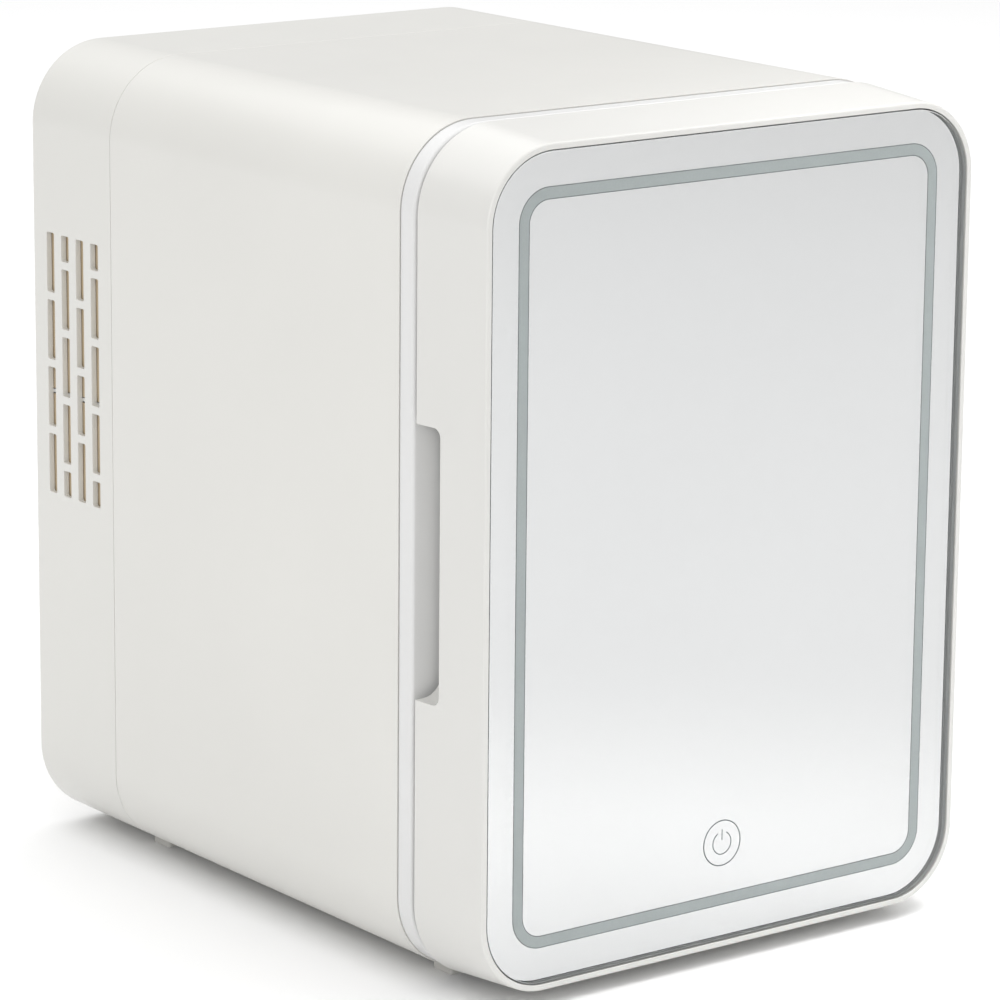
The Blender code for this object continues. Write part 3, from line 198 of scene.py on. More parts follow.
def lathe(name, profile, centre, axis, finish, steps=48):
    """A turned piece: (radius, height) points swept round an axis through centre."""
    shape = bmesh.new()
    turn = Vector((0, 0, 1)).rotation_difference(Vector(axis)).to_matrix()
    rings = []
    for radius, height in profile:
        count = 1 if radius < 1e-7 else steps
        ring = []
        for step in range(count):
            angle = 2 * math.pi * step / steps
            point = Vector((radius * math.cos(angle), radius * math.sin(angle), height))
            ring.append(shape.verts.new(Vector(centre) + turn @ point))
        rings.append(ring)
    for a, b in zip(rings, rings[1:]):
        for step in range(steps):
            after = (step + 1) % steps
            corners = [a[step % len(a)], a[after % len(a)], b[after % len(b)], b[step % len(b)]]
            corners = [vert for place, vert in enumerate(corners) if vert not in corners[:place]]
            if len(corners) > 2:
                shape.faces.new(corners)
    return new_piece(name, mesh_of(name, shape), finish)


def settle(piece):
    """Apply a piece's modifiers to its mesh."""
    bpy.context.view_layer.update()
    seen = piece.evaluated_get(bpy.context.evaluated_depsgraph_get())
    mesh = bpy.data.meshes.new_from_object(seen)
    piece.modifiers.clear()
    piece.data = mesh
    return piece


def carve(piece, tools, operation="DIFFERENCE"):
    """Cut tools out of a piece, or join them to it, and drop the tools."""
    for tool in tools:
        step = piece.modifiers.new(tool.name, "BOOLEAN")
        step.operation = operation
        step.solver = "EXACT"
        step.object = tool
    settle(piece)
    for tool in tools:
        bpy.data.objects.remove(tool, do_unlink=True)
    return piece


def fuse(name, tools):
    """Put tools that stay apart into one mesh, so that one Boolean handles them all."""
    shape = bmesh.new()
    for tool in tools:
        shape.from_mesh(tool.data)
        bpy.data.objects.remove(tool, do_unlink=True)
    return new_piece(name, mesh_of(name, shape), None)


def soften(piece, width=0.0003, segments=2, angle=32):
    """Round the sharp edges a little and keep the flat faces flat in the shading."""
    weld = piece.modifiers.new("weld", "WELD")
    weld.merge_threshold = 0.000004
    if width > 0:
        bevel = piece.modifiers.new("edge", "BEVEL")
        bevel.width = width
        bevel.segments = segments
        bevel.limit_method = "ANGLE"
        bevel.angle_limit = math.radians(angle)
        bevel.use_clamp_overlap = True
    smooth(piece)
    weights = piece.modifiers.new("normals", "WEIGHTED_NORMAL")
    weights.mode = "FACE_AREA"
    weights.weight = 80
    weights.keep_sharp = True
    return piece


def smooth(piece):
    """Smooth shading, set without touching a vertex."""
    piece.data.polygons.foreach_set("use_smooth", [True] * len(piece.data.polygons))
    piece.data.update()


def stand_for(piece, body, slot, *nodes):
    """Ride on a body and stand for CAD nodes. The slot argument is not used."""
    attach(piece, body)
    if nodes:
        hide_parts(*nodes)
    return piece


def keep(nodes, finish, width=0.0003, segments=2):
    """Keep CAD nodes, with a new material and softened edges."""
    for name in nodes:
        node = NODES[name]
        node.data.materials.clear()
        node.data.materials.append(finish)
        soften(node, width, segments)


# ---- Materials ------------------------------------------------------------------------------
class Finish:
    """A small helper that builds one node-based material."""

    def __init__(self, name, colour, roughness, **sockets):
        self.material = bpy.data.materials.new(name)
        self.material.use_nodes = True
        self.tree = self.material.node_tree
        self.shader = self.tree.nodes["Principled BSDF"]
        self.set("Base Color", (*colour, 1.0))
        self.set("Roughness", roughness)
        for socket, value in sockets.items():
            self.set(socket.replace("_", " "), value)
        self.colour = colour
        self.roughness = roughness
        self.place = self.tree.nodes.new("ShaderNodeTexCoord").outputs["Object"]
        self.height = None

    def set(self, socket, value):
        """Set a constant on the shader's own socket."""
        self.shader.inputs[socket].default_value = value

    def node(self, kind, **values):
        """Add a node and set its inputs or attributes."""
        made = self.tree.nodes.new(kind)
        for name, value in values.items():
            if name in made.inputs:
                made.inputs[name].default_value = value
            else:
                setattr(made, name, value)
        return made

    def link(self, out, into):
        """Join two sockets."""
        self.tree.links.new(out, into)

    def stretched(self, scale):
        """Object coordinates with a scale for each axis."""
        mapping = self.node("ShaderNodeMapping")
        mapping.inputs["Scale"].default_value = scale
        self.link(self.place, mapping.inputs["Vector"])
        return mapping.outputs["Vector"]

    def noise(self, scale, detail=2.0, rough=0.5, where=None):
        """A noise pattern's value output."""
        made = self.node("ShaderNodeTexNoise", Scale=scale, Detail=detail, Roughness=rough)
        self.link(where or self.place, made.inputs["Vector"])
        return made.outputs["Fac"]

    def cells(self, scale, feature="F1", where=None):
        """A Voronoi pattern's distance output."""
        made = self.node("ShaderNodeTexVoronoi", Scale=scale)
        made.feature = feature
        self.link(where or self.place, made.inputs["Vector"])
        return made.outputs["Distance"]

    def ramp(self, value, stops):
        """A colour ramp over a value."""
        made = self.node("ShaderNodeValToRGB")
        made.color_ramp.elements[0].position = stops[0][0]
        made.color_ramp.elements[0].color = (*stops[0][1], 1.0)
        made.color_ramp.elements[1].position = stops[-1][0]
        made.color_ramp.elements[1].color = (*stops[-1][1], 1.0)
        for position, colour in stops[1:-1]:
            made.color_ramp.elements.new(position).color = (*colour, 1.0)
        self.link(value, made.inputs["Fac"])
        return made.outputs["Color"]

    def span(self, value, low, high):
        """Map a 0 to 1 value to a range."""
        made = self.node("ShaderNodeMapRange")
        made.inputs["To Min"].default_value = low
        made.inputs["To Max"].default_value = high
        self.link(value, made.inputs["Value"])
        return made.outputs["Result"]

    def vary_colour(self, value, amount):
        """Let the base colour drift darker and lighter by a share of itself."""
        low = tuple(part * (1 - amount) for part in self.colour)
        high = tuple(min(1.0, part * (1 + amount)) for part in self.colour)
        self.link(self.ramp(value, [(0.3, low), (0.7, high)]), self.shader.inputs["Base Color"])
        return self

    def vary_roughness(self, value, amount):
        """Let the roughness drift about its value."""
        self.link(self.span(value, self.roughness - amount, self.roughness + amount),
                  self.shader.inputs["Roughness"])
        return self

    def bump(self, value, distance, strength=1.0):
        """Add a bump layer; distance is in metres."""
        made = self.node("ShaderNodeBump", Strength=strength, Distance=distance)
        self.link(value, made.inputs["Height"])
        if self.height is not None:
            self.link(self.height, made.inputs["Normal"])
        self.height = made.outputs["Normal"]
        self.link(self.height, self.shader.inputs["Normal"])
        return self


def glossy_plastic(name, colour, roughness=0.24, coat=0.25):
    """Injection-moulded ABS: a fine orange peel, slight drift of tone and gloss."""
    made = Finish(name, colour, roughness, Coat_Weight=coat, Coat_Roughness=0.12, IOR=1.5)
    made.vary_colour(made.noise(9.0, 3.0), 0.012)
    made.vary_roughness(made.noise(60.0, 3.0), 0.04)
    made.bump(made.noise(420.0, 2.0), 0.00001, 0.4)
    made.bump(made.noise(30.0, 1.0), 0.00012, 0.06)
    return made.material


def textured_plastic(name, colour, roughness=0.5, grain=1600.0, depth=0.00004):
    """Spark-eroded moulding: a fine even grain over a matt surface."""
    made = Finish(name, colour, roughness, IOR=1.48)
    made.vary_colour(made.noise(25.0, 4.0), 0.05)
    made.vary_roughness(made.noise(200.0, 3.0), 0.08)
    made.bump(made.noise(grain, 3.0, 0.6), depth, 0.8)
    return made.material


def clear_plastic(name, colour, roughness=0.08):
    """Clear styrene with faint flow marks."""
    made = Finish(name, colour, roughness, Transmission_Weight=0.92, IOR=1.55)
    made.vary_roughness(made.noise(90.0, 3.0), 0.04)
    made.bump(made.noise(45.0, 2.0), 0.00008, 0.3)
    return made.material


def foam_board(name, colour):
    """Expanded polystyrene: packed beads with dark seams between them."""
    made = Finish(name, colour, 0.9)
    beads = made.cells(330.0, "DISTANCE_TO_EDGE")
    made.link(made.ramp(beads, [(0.0, tuple(part * 0.72 for part in colour)), (0.12, colour)]),
              made.shader.inputs["Base Color"])
    made.bump(beads, 0.0006, 0.7)
    made.bump(made.noise(900.0, 2.0), 0.00005, 0.5)
    return made.material


def brushed_metal(name, colour, roughness=0.32, along=(1, 1, 40), metallic=1.0):
    """Extruded or rolled metal with fine lines along one direction."""
    made = Finish(name, colour, roughness, Metallic=metallic)
    lines = made.noise(260.0, 4.0, 0.6, made.stretched(along))
    made.vary_colour(made.noise(35.0, 3.0), 0.06)
    made.vary_roughness(lines, 0.1)
    made.bump(lines, 0.00002, 0.6)
    return made.material


def soft_rubber(name, colour, roughness=0.75):
    """Rubber or soft PVC with a dusty bloom."""
    made = Finish(name, colour, roughness, IOR=1.45)
    made.vary_colour(made.noise(70.0, 4.0, 0.6), 0.07)
    made.vary_roughness(made.noise(160.0, 3.0), 0.09)
    made.bump(made.noise(1500.0, 3.0), 0.00003, 0.7)
    return made.material


def circuit_board(name, mask, trace, scale=230.0):
    """Solder mask over copper runs, which show as paler raised lines."""
    made = Finish(name, mask, 0.32, Coat_Weight=0.3)
    runs = made.node("ShaderNodeTexBrick", Scale=scale)
    runs.inputs["Mortar Size"].default_value = 0.035
    runs.inputs["Color1"].default_value = (0, 0, 0, 1)
    runs.inputs["Color2"].default_value = (0.25, 0.25, 0.25, 1)
    runs.inputs["Mortar"].default_value = (1, 1, 1, 1)
    made.link(made.stretched((1.0, 1.0, 0.6)), runs.inputs["Vector"])
    made.link(made.ramp(runs.outputs["Color"], [(0.0, mask), (0.3, mask), (1.0, trace)]),
              made.shader.inputs["Base Color"])
    made.bump(runs.outputs["Color"], 0.00004, 0.5)
    return made.material


def cable_jacket(name, colour):
    """PVC lead insulation with a soft sheen."""
    made = Finish(name, colour, 0.42, IOR=1.5)
    made.vary_colour(made.noise(120.0, 3.0), 0.10)
    made.vary_roughness(made.noise(300.0, 2.0), 0.07)
    made.bump(made.noise(700.0, 2.0), 0.00002, 0.5)
    return made.material


def ceramic_plate(name, colour):
    """Alumina plate of the thermoelectric module."""
    made = Finish(name, colour, 0.6)
    made.vary_colour(made.noise(240.0, 5.0, 0.7), 0.04)
    made.bump(made.noise(1100.0, 3.0), 0.00002, 0.6)
    return made.material


def mirror_coat(name, colour):
    """Silvered back of the glass."""
    made = Finish(name, colour, 0.012, Metallic=1.0)
    made.vary_colour(made.noise(6.0, 2.0), 0.006)
    return made.material


def plain_glass(name, colour):
    """The clear front plate of the mirror, faintly green through its thickness."""
    made = Finish(name, colour, 0.0, Transmission_Weight=1.0, IOR=1.5)
    made.bump(made.noise(14.0, 1.0), 0.00001, 0.08)
    return made.material


def frosted_band(name, colour):
    """Sand-blasted glass in front of the lamps, which are off."""
    made = Finish(name, colour, 0.62, IOR=1.5, Specular_IOR_Level=0.3)
    made.vary_colour(made.noise(1800.0, 2.0), 0.03)
    made.bump(made.noise(3200.0, 2.0), 0.00003, 0.6)
    return made.material


def finishes():
    """Every finish by name."""
    return {
        "casing": glossy_plastic("casing_plastic", (0.672, 0.665, 0.635), 0.30, 0.12),
        "collar": glossy_plastic("collar_plastic", (0.680, 0.680, 0.676), 0.30, 0.12),
        "door": glossy_plastic("door_plastic", (0.650, 0.645, 0.622), 0.31, 0.10),
        "cover": glossy_plastic("cover_plastic", (0.668, 0.662, 0.632), 0.31, 0.10),
        "partition": textured_plastic("partition_plastic", (0.45, 0.38, 0.27), 0.5, 900.0),
        "liner": textured_plastic("liner_plastic", (0.80, 0.81, 0.81), 0.34, 1300.0, 0.00002),
        "panel": textured_plastic("panel_plastic", (0.80, 0.80, 0.79), 0.34, 1300.0, 0.00002),
        "clear": clear_plastic("clear_styrene", (0.93, 0.96, 0.97)),
        "guide": clear_plastic("light_guide_acrylic", (0.96, 0.98, 0.98), 0.2),
        "foam": foam_board("foam_beads", (0.86, 0.85, 0.80)),
        "aluminium": brushed_metal("extruded_aluminium", (0.66, 0.67, 0.68)),
        "steel": brushed_metal("zinc_plated_steel", (0.58, 0.58, 0.57), 0.28, (8, 8, 1)),
        "brass": brushed_metal("bush_brass", (0.62, 0.46, 0.20), 0.3, (6, 6, 1)),
        "magnet": brushed_metal("magnet_nickel", (0.50, 0.49, 0.47), 0.34, (4, 4, 1)),
        "black": textured_plastic("black_moulding", (0.018, 0.018, 0.020), 0.45, 1500.0),
        "fan": textured_plastic("fan_moulding", (0.022, 0.022, 0.024), 0.38, 1100.0, 0.00002),
        "switch": textured_plastic("switch_moulding", (0.016, 0.016, 0.017), 0.32, 2100.0, 0.00002),
        "board": circuit_board("green_board", (0.012, 0.095, 0.038), (0.05, 0.22, 0.09)),
        "lamp_board": circuit_board("white_board", (0.80, 0.80, 0.78), (0.66, 0.65, 0.60), 310.0),
        "rubber": soft_rubber("foot_rubber", (0.62, 0.61, 0.58)),
        "gasket": soft_rubber("gasket_pvc", (0.48, 0.48, 0.465), 0.6),
        "lead_black": cable_jacket("black_lead", (0.02, 0.02, 0.021)),
        "lead_red": cable_jacket("red_lead", (0.36, 0.02, 0.018)),
        "ceramic": ceramic_plate("alumina", (0.84, 0.84, 0.81)),
        "mirror": mirror_coat("silvering", (0.685, 0.685, 0.69)),
        "glass": plain_glass("mirror_plate_glass", (0.985, 0.995, 0.99)),
        "band": frosted_band("frosted_band", (0.64, 0.70, 0.70)),
        "line": frosted_band("etched_line", (0.22, 0.25, 0.25)),
        "ground": frosted_band("ground_edge", (0.52, 0.54, 0.53)),
        # painted light: brown sheets that stand for the warm reflected light seen through the side vents
        "painted_vent_light": textured_plastic("painted_vent_light_sheet", (0.50, 0.40, 0.27), 0.9, 700.0, 0.0002),
        "lamp": frosted_band("lamp_phosphor", (0.85, 0.68, 0.16)),
    }


# ---- Casing ---------------------------------------------------------------------------------
def side_slot_levels(column):
    """Bottom and top of every vent slot in a column: long slots, laid like bricks."""
    total = SLOT_ROWS * SLOT_LENGTH + (SLOT_ROWS - 1) * SLOT_BRIDGE
    bottom = SLOT_TOP - total
    start = SLOT_TOP
    if column % 2:
        start += (SLOT_LENGTH + SLOT_BRIDGE) / 2
    levels = []
    while start > bottom + SLOT_BRIDGE:
        levels.append((max(start - SLOT_LENGTH, bottom), min(start, SLOT_TOP)))
        start -= SLOT_LENGTH + SLOT_BRIDGE
    return levels


def tube(name, front, back, finish):
    """A sleeve with the fridge's outline and softly broken edges."""
    edge = 0.0002
    profile = (arc((edge, back - edge), edge, 90, 180, 3) + arc((edge, front + edge), edge, 180, 270, 3)
               + [(WALL, front), (WALL, back)])
    return sweep(name, profile, finish)


def make_casing(look):
    """Main sleeve and front frame."""
    shell = tube("casing_sleeve", SHELL_LOW.y, SHELL_HIGH.y, look["casing"])
    soften(shell, 0)
    stand_for(shell, "cabinet", "casing", "main_shell")

    front, back = DOOR_HIGH.y + SEAL_GAP, FRAME_HIGH.y
    round_off = 0.0016
    step_in = 0.0006
    skirt = 0.0034
    face_inset = 0.0200
    profile = ([(skirt, back), (step_in, back)]
               + arc((step_in + round_off, front + round_off), round_off, 180, 270, 6)
               + [(face_inset, front), (face_inset, front + WALL), (skirt, front + WALL)])
    collar = sweep("front_collar", profile, look["collar"])
    liner_wall = 0.002
    mouth = LINER_HIGH.x - liner_wall
    inset = 0.010
    lips = slab("collar_face", (-HALF_WIDTH + inset, HALF_WIDTH - inset), (front + 0.0001, front + WALL),
                (SHELL_LOW.z + inset, SHELL_HIGH.z - inset), corner=CORNER - inset, steps=16)
    carve(collar, [lips], "UNION")
    opening = slab("mouth", (-mouth, mouth), (front - OVER, back + OVER),
                   (LINER_LOW.z + liner_wall, LINER_HIGH.z - liner_wall), corner=0.012, steps=12)
    carve(collar, [opening])
    for level in (-1, 1):
        carve(collar, [make_lug(level, back)], "UNION")
        z = MIDDLE + level * LUG_OFFSET
        carve(collar, [rod("eye", BUSH_HOLE, (HINGE[0], HINGE[1], z - 0.006),
                           (HINGE[0], HINGE[1], z + 0.006))])
    soften(collar, 0.0003)
    stand_for(collar, "cabinet", "casing", "front_frame")


def make_lug(level, back):
    """A hinge lug with a round nose, tied into the frame."""
    radius = LUG_RADIUS
    z = MIDDLE + level * LUG_OFFSET
    shape = bmesh.new()
    around = []
    for step in range(17):
        angle = math.pi + math.pi * step / 16
        around.append((HINGE[0] + radius * math.cos(angle), HINGE[1] + radius * math.sin(angle)))
    around += [(HINGE[0] + radius, back - 0.001), (HINGE[0] - radius, back - 0.001)]
    low = [shape.verts.new((x, y, z - LUG_HALF)) for x, y in around]
    high = [shape.verts.new((x, y, z + LUG_HALF)) for x, y in around]
    shape.faces.new(reversed(low))
    shape.faces.new(high)
    for index in range(len(around)):
        after = (index + 1) % len(around)
        shape.faces.new((low[index], low[after], high[after], high[index]))
    return new_piece("lug", mesh_of("lug", shape), None)


def make_rear_cover(look):
    """Rear cover with side vents, fan grille, socket panel and screw sinkings."""
    front, back = COVER_LOW.y, COVER_HIGH.y
    edge = 0.0002
    rib_z = (0.1903, 0.1918)
    outside = (arc((edge, front + edge), edge, 270, 180, 3)
               + arc((COVER_FILLET, back - COVER_FILLET), COVER_FILLET, 180, 90, 10))
    cover = sweep("rear_cover_moulding", outside, look["cover"], loop=False)
    carve(cover, [sweep("hollow", [(WALL, front - OVER), (WALL, back - WALL)], loop=False)])
    ribs = []
    for side in (-1, 1):
        x = sorted((side * (HALF_WIDTH - WALL / 2), side * (HALF_WIDTH - 0.010)))
        ribs.append(slab("rib", x, (front + 0.002, back - 0.004), rib_z))
    carve(cover, [fuse("ribs", ribs)], "UNION")
    slots = []
    for column in range(SLOT_COLUMNS):
        y = back - SLOT_BACK - column * SLOT_PITCH
        for low, high in side_slot_levels(column):
            for side in (-1, 1):
                x = side * HALF_WIDTH
                slots.append(slab("slot", (x - WALL - 0.0005, x + WALL + 0.0005),
                                  (y - SLOT_WIDTH / 2, y + SLOT_WIDTH / 2), (low, high),
                                  corner=0.0007, steps=3, axis=0))
    carve(cover, [fuse("side_vents", slots)])
    carve(cover, [fuse("grille_slots", grille_slots(back))])
    panel_depth = 0.0035
    face = back - panel_depth
    z = (SOCKET_HEIGHT - 0.016, SOCKET_HEIGHT + 0.016)
    carve(cover, [slab("panel_backing", (-0.082, 0.082), (face - WALL, back - WALL / 2),
                       (z[0] - WALL, z[1] + WALL))], "UNION")
    carve(cover, [slab("panel_sink", (-0.0795, 0.0795), (face, back + OVER), z, corner=0.004)])
    y = (face - WALL - OVER, face + OVER)
    carve(cover, [
        slab("switch_way", (SWITCH_X - 0.0103, SWITCH_X + 0.0103), y,
             (SOCKET_HEIGHT - 0.0070, SOCKET_HEIGHT + 0.0070)),
        slab("mains_way", (MAINS_X - 0.0113, MAINS_X + 0.0113), y,
             (SOCKET_HEIGHT - 0.0063, SOCKET_HEIGHT + 0.0063), corner=0.0062),
        rod("low_volt_way", 0.0058, (LOW_VOLT_X, y[0], SOCKET_HEIGHT), (LOW_VOLT_X, y[1], SOCKET_HEIGHT)),
    ])
    for corner in ("lower_left", "lower_right", "upper_left", "upper_right"):
        low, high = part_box("cover_screw_" + corner)
        x, z = (low.x + high.x) / 2, (low.z + high.z) / 2
        carve(cover, [rod("screw_way", 0.0019, (x, back - 0.006, z), (x, back + OVER, z), steps=20),
                      rod("screw_sink", 0.0038, (x, back - 0.0014, z), (x, back + OVER, z), steps=40)])
    soften(cover, 0.0003)
    stand_for(cover, "cabinet", "casing", "rear_cover")


def make_painted_vent_light_sheets(look):
    """Brown sheets behind the side vents, above and below the cover's rib: painted light, the warm light
    reflected inside the back as seen through the slots.
    """
    thickness = 0.0004
    y = (COVER_HIGH.y - SLOT_BACK - SLOT_COLUMNS * SLOT_PITCH, COVER_HIGH.y - 0.0060)
    for side, side_name in ((-1, "left"), (1, "right")):
        inner = side * (HALF_WIDTH - WALL - GAP - thickness)
        x = sorted((inner, inner + side * thickness))
        for z, name in (((0.1440, 0.1899), "lower"), ((0.1922, 0.2620), "upper")):
            # painted light: each sheet's brown copies the warm light reflected inside the back, seen
            # through the vent slots
            sheet = slab("vent_painted_light_" + side_name + "_" + name, x, y, z, look["painted_vent_light"],
                         corner=0.0020, steps=4, axis=0)
            soften(sheet, 0)
            stand_for(sheet, "cabinet", "casing")


def grille_slots(back):
    """The fan grille's slots, in a round field with a middle rib."""
    reach = (HOT_HIGH.x - HOT_LOW.x) / 2 - 0.002
    pitch = 0.0068
    half_slot = 0.0021
    slots = []
    for index in range(11):
        offset = (index - 5) * pitch
        half = math.sqrt(reach ** 2 - offset ** 2)
        for side in (-1, 1):
            x = sorted((side * 0.0015, side * half))
            slots.append(slab("slot", x, (back - WALL - OVER, back + OVER),
                              (UNIT_HEIGHT + offset - half_slot, UNIT_HEIGHT + offset + half_slot),
                              corner=0.0012, steps=3))
    return slots


# ---- Door -----------------------------------------------------------------------------------
def make_door(look):
    """The door's moulding: bezel, glass seat, finger scoop and hinge corners."""
    front, back = DOOR_LOW.y, DOOR_HIGH.y
    seat = GLASS_HIGH.y + GAP
    seat_back = seat + 0.0024
    rear_edge = 0.0005
    lip = 0.0003
    profile = (arc((rear_edge, back - rear_edge), rear_edge, 90, 180, 3)
               + arc((DOOR_DRAFT + DOOR_FILLET, front + DOOR_FILLET), DOOR_FILLET, 180, 270, 8)
               + arc((BEZEL - lip, front + lip), lip, 270, 360, 3)
               + [(BEZEL, seat), (BEZEL + LEDGE_WIDTH, seat), (BEZEL + LEDGE_WIDTH, seat_back),
                  (DOOR_WALL, seat_back), (DOOR_WALL, back)])
    door = sweep("door_moulding", profile, look["door"])
    x, y, z = GRIP
    carve(door, [grip_block("grip_body", (x[0] + LEAN, x[1] + GRIP_WALL), (y[0] - GRIP_WALL, y[1] - 0.0001),
                            (z[0] - GRIP_WALL, z[1] + GRIP_WALL), 0.0100, 0.0035)], "UNION")
    carve(door, [grip_block("grip_scoop", (x[0] - OVER, x[1]), (y[0], y[1] + OVER), z, 0.009, 0.0035)])
    for level in (-1, 1):
        middle = MIDDLE + level * LUG_OFFSET
        half = 0.0130
        carve(door, [slab("hinge_corner", (HINGE[0] - 0.0080, HALF_WIDTH - LEAN),
                          (HINGE[1] - 0.0130, back - 0.0001), (middle - half, middle + half))], "UNION")
        notch = LUG_HALF + LUG_CLEARANCE
        carve(door, [slab("hinge_notch", (HINGE[0] - 0.0056, HALF_WIDTH + OVER),
                          (HINGE[1] - 0.0100, back + OVER), (middle - notch, middle + notch))])
        carve(door, [rod("pin_way", 0.0018, (HINGE[0], HINGE[1], middle - 0.0113),
                         (HINGE[0], HINGE[1], middle + 0.0113), steps=24)])
    soften(door, 0.0003)
    stand_for(door, "door", "door_casing", "door_shell")


def grip_block(name, x, y, z, corner, rim):
    """A block with two round corners on its deep side and a rounded front rim, for the finger scoop."""
    shape = bmesh.new()
    bmesh.ops.create_cube(shape, size=1.0)
    size = Vector((x[1] - x[0], y[1] - y[0], z[1] - z[0]))
    bmesh.ops.scale(shape, vec=size, verts=shape.verts)
    deep = [edge for edge in shape.edges if all(vert.co.x > 0 for vert in edge.verts)
            and abs(edge.verts[0].co.y - edge.verts[1].co.y) > 0.001]
    bmesh.ops.bevel(shape, geom=deep, offset=corner, segments=14, profile=0.5, affect="EDGES")
    front = [edge for edge in shape.edges if all(vert.co.y < -size.y / 2 + 1e-6 for vert in edge.verts)
             and max(vert.co.x for vert in edge.verts) > -size.x / 2 + 1e-6]
    bmesh.ops.bevel(shape, geom=front, offset=rim, segments=6, profile=0.5, affect="EDGES")
    middle = Vector((x[0] + x[1], y[0] + y[1], z[0] + z[1])) / 2
    bmesh.ops.translate(shape, vec=middle, verts=shape.verts)
    return new_piece(name, mesh_of(name, shape), None)


def make_mirror(look):
    """Glass plate, silvering behind it, frosted band, and the touch key's rings."""
    inset = HALF_WIDTH - GLASS_HIGH.x
    front, back = GLASS_LOW.y, GLASS_HIGH.y
    grind = 0.0005
    plate = sweep("mirror_plate", [(inset, back), (inset, front + grind), (inset + grind, front)],
                  look["glass"], loop=False)
    plate.data.materials.append(look["ground"])
    for face in plate.data.polygons:
        if abs(face.normal.y) < 0.3:
            face.material_index = 1
    soften(plate, 0, angle=20)
    stand_for(plate, "door", "mirror", "mirror_glass")

    coat = back - 0.0002
    silver = sweep("silvering_sheet", [(inset + 0.0001, coat + 0.0001), (inset + 0.0001, coat)],
                   look["mirror"], loop=False)
    stand_for(silver, "door", "mirror")
    band_front = coat - 0.00006
    border = 0.00035
    band = flat_ring("frosted_band_ring", STRIP_INSET, STRIP_WIDTH, band_front, look["band"])
    stand_for(band, "door", "mirror")
    lines = (("band_line_outer", STRIP_INSET - border), ("band_line_inner", STRIP_INSET + STRIP_WIDTH))
    for name, start in lines:
        stand_for(flat_ring(name, start, border, band_front, look["line"]), "door", "mirror")
    make_touch_key(look, band_front)


def flat_ring(name, inset, width, y, finish):
    """A flat band that follows the outline at a constant width, facing the front."""
    back = y + LAYER_DEPTH
    return sweep(name, [(inset, y), (inset, back), (inset + width, back), (inset + width, y)], finish)


def ring_disc(name, centre, inner, outer, y, finish, gap=0.0, steps=72):
    """A flat ring or open ring about a point on the mirror; gap is the opening's half angle at the top."""
    shape = bmesh.new()
    back = y + LAYER_DEPTH
    start = math.pi / 2 + gap
    sweep_angle = 2 * math.pi - 2 * gap
    count = steps if gap == 0 else steps + 1
    rows = []
    for step in range(count):
        angle = start + sweep_angle * step / steps
        row = []
        for radius, level in ((inner, y), (outer, y), (outer, back), (inner, back)):
            row.append(shape.verts.new((centre[0] + radius * math.cos(angle), level,
                                        centre[1] + radius * math.sin(angle))))
        rows.append(row)
    pairs = list(zip(rows, rows[1:]))
    if gap == 0:
        pairs.append((rows[-1], rows[0]))
    else:
        shape.faces.new(rows[0])
        shape.faces.new(reversed(rows[-1]))
    for a, b in pairs:
        for index in range(4):
            after = (index + 1) % 4
            shape.faces.new((a[index], a[after], b[after], b[index]))
    return new_piece(name, mesh_of(name, shape), finish)


def make_touch_key(look, y):
    """The touch key: a ring round a plain power sign."""
    centre = (0.0, KEY_HEIGHT)
    ring = ring_disc("key_ring", centre, 0.0089, 0.0094, y, look["line"])
    arc_ring = ring_disc("key_arc", centre, 0.0043, 0.00475, y, look["line"], gap=math.radians(28))
    bar = slab("key_bar", (-0.00022, 0.00022), (y, y + LAYER_DEPTH),
               (KEY_HEIGHT + 0.0012, KEY_HEIGHT + 0.0056), look["line"])
    for piece in (ring, arc_ring, bar):
        stand_for(piece, "door", "mirror")


def make_gasket(look):
    """The door's seal: a foot, two bellows folds and a soft lip."""
    low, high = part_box("door_gasket")
    inset = HALF_WIDTH - high.x
    width = 0.0075
    depth = high.y - low.y
    y = low.y
    profile = [(inset + 0.0012, y), (inset + 0.0012, y + 0.22 * depth), (inset, y + 0.40 * depth),
               (inset + 0.0009, y + 0.58 * depth), (inset + 0.0001, y + 0.80 * depth),
               (inset + 0.0010, y + depth), (inset + width - 0.0010, y + depth),
               (inset + width - 0.0001, y + 0.80 * depth), (inset + width - 0.0009, y + 0.58 * depth),
               (inset + width, y + 0.40 * depth), (inset + width - 0.0012, y + 0.22 * depth),
               (inset + width - 0.0012, y)]
    seal = sweep("bellows_seal", profile, look["gasket"])
    soften(seal, 0.0002)
    stand_for(seal, "door", "gasket", "door_gasket")


def make_lamps(look):
    """Small lamps along the lamp strip, between the back plate and the glass."""
    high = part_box("led_strip")[1]
    inset = HALF_WIDTH - high.x + 0.0020
    lamps = []
    pitch = 0.0167
    half = (0.0014, 0.0008)
    y = (high.y, high.y + 0.0008)
    across = HALF_WIDTH - inset
    up = HALF_HEIGHT - inset
    for side in (-1, 1):
        for index in range(-7, 8):
            z = MIDDLE + index * pitch
            lamps.append(slab("lamp", (side * across - half[1], side * across + half[1]), y,
                              (z - half[0], z + half[0])))
        for index in range(-4, 5):
            x = index * pitch
            lamps.append(slab("lamp", (x - half[0], x + half[0]), y,
                              (MIDDLE + side * up - half[1], MIDDLE + side * up + half[1])))
    lights = fuse("strip_lamps", lamps)
    lights.data.materials.append(look["lamp"])
    stand_for(lights, "door", "lamp_board")


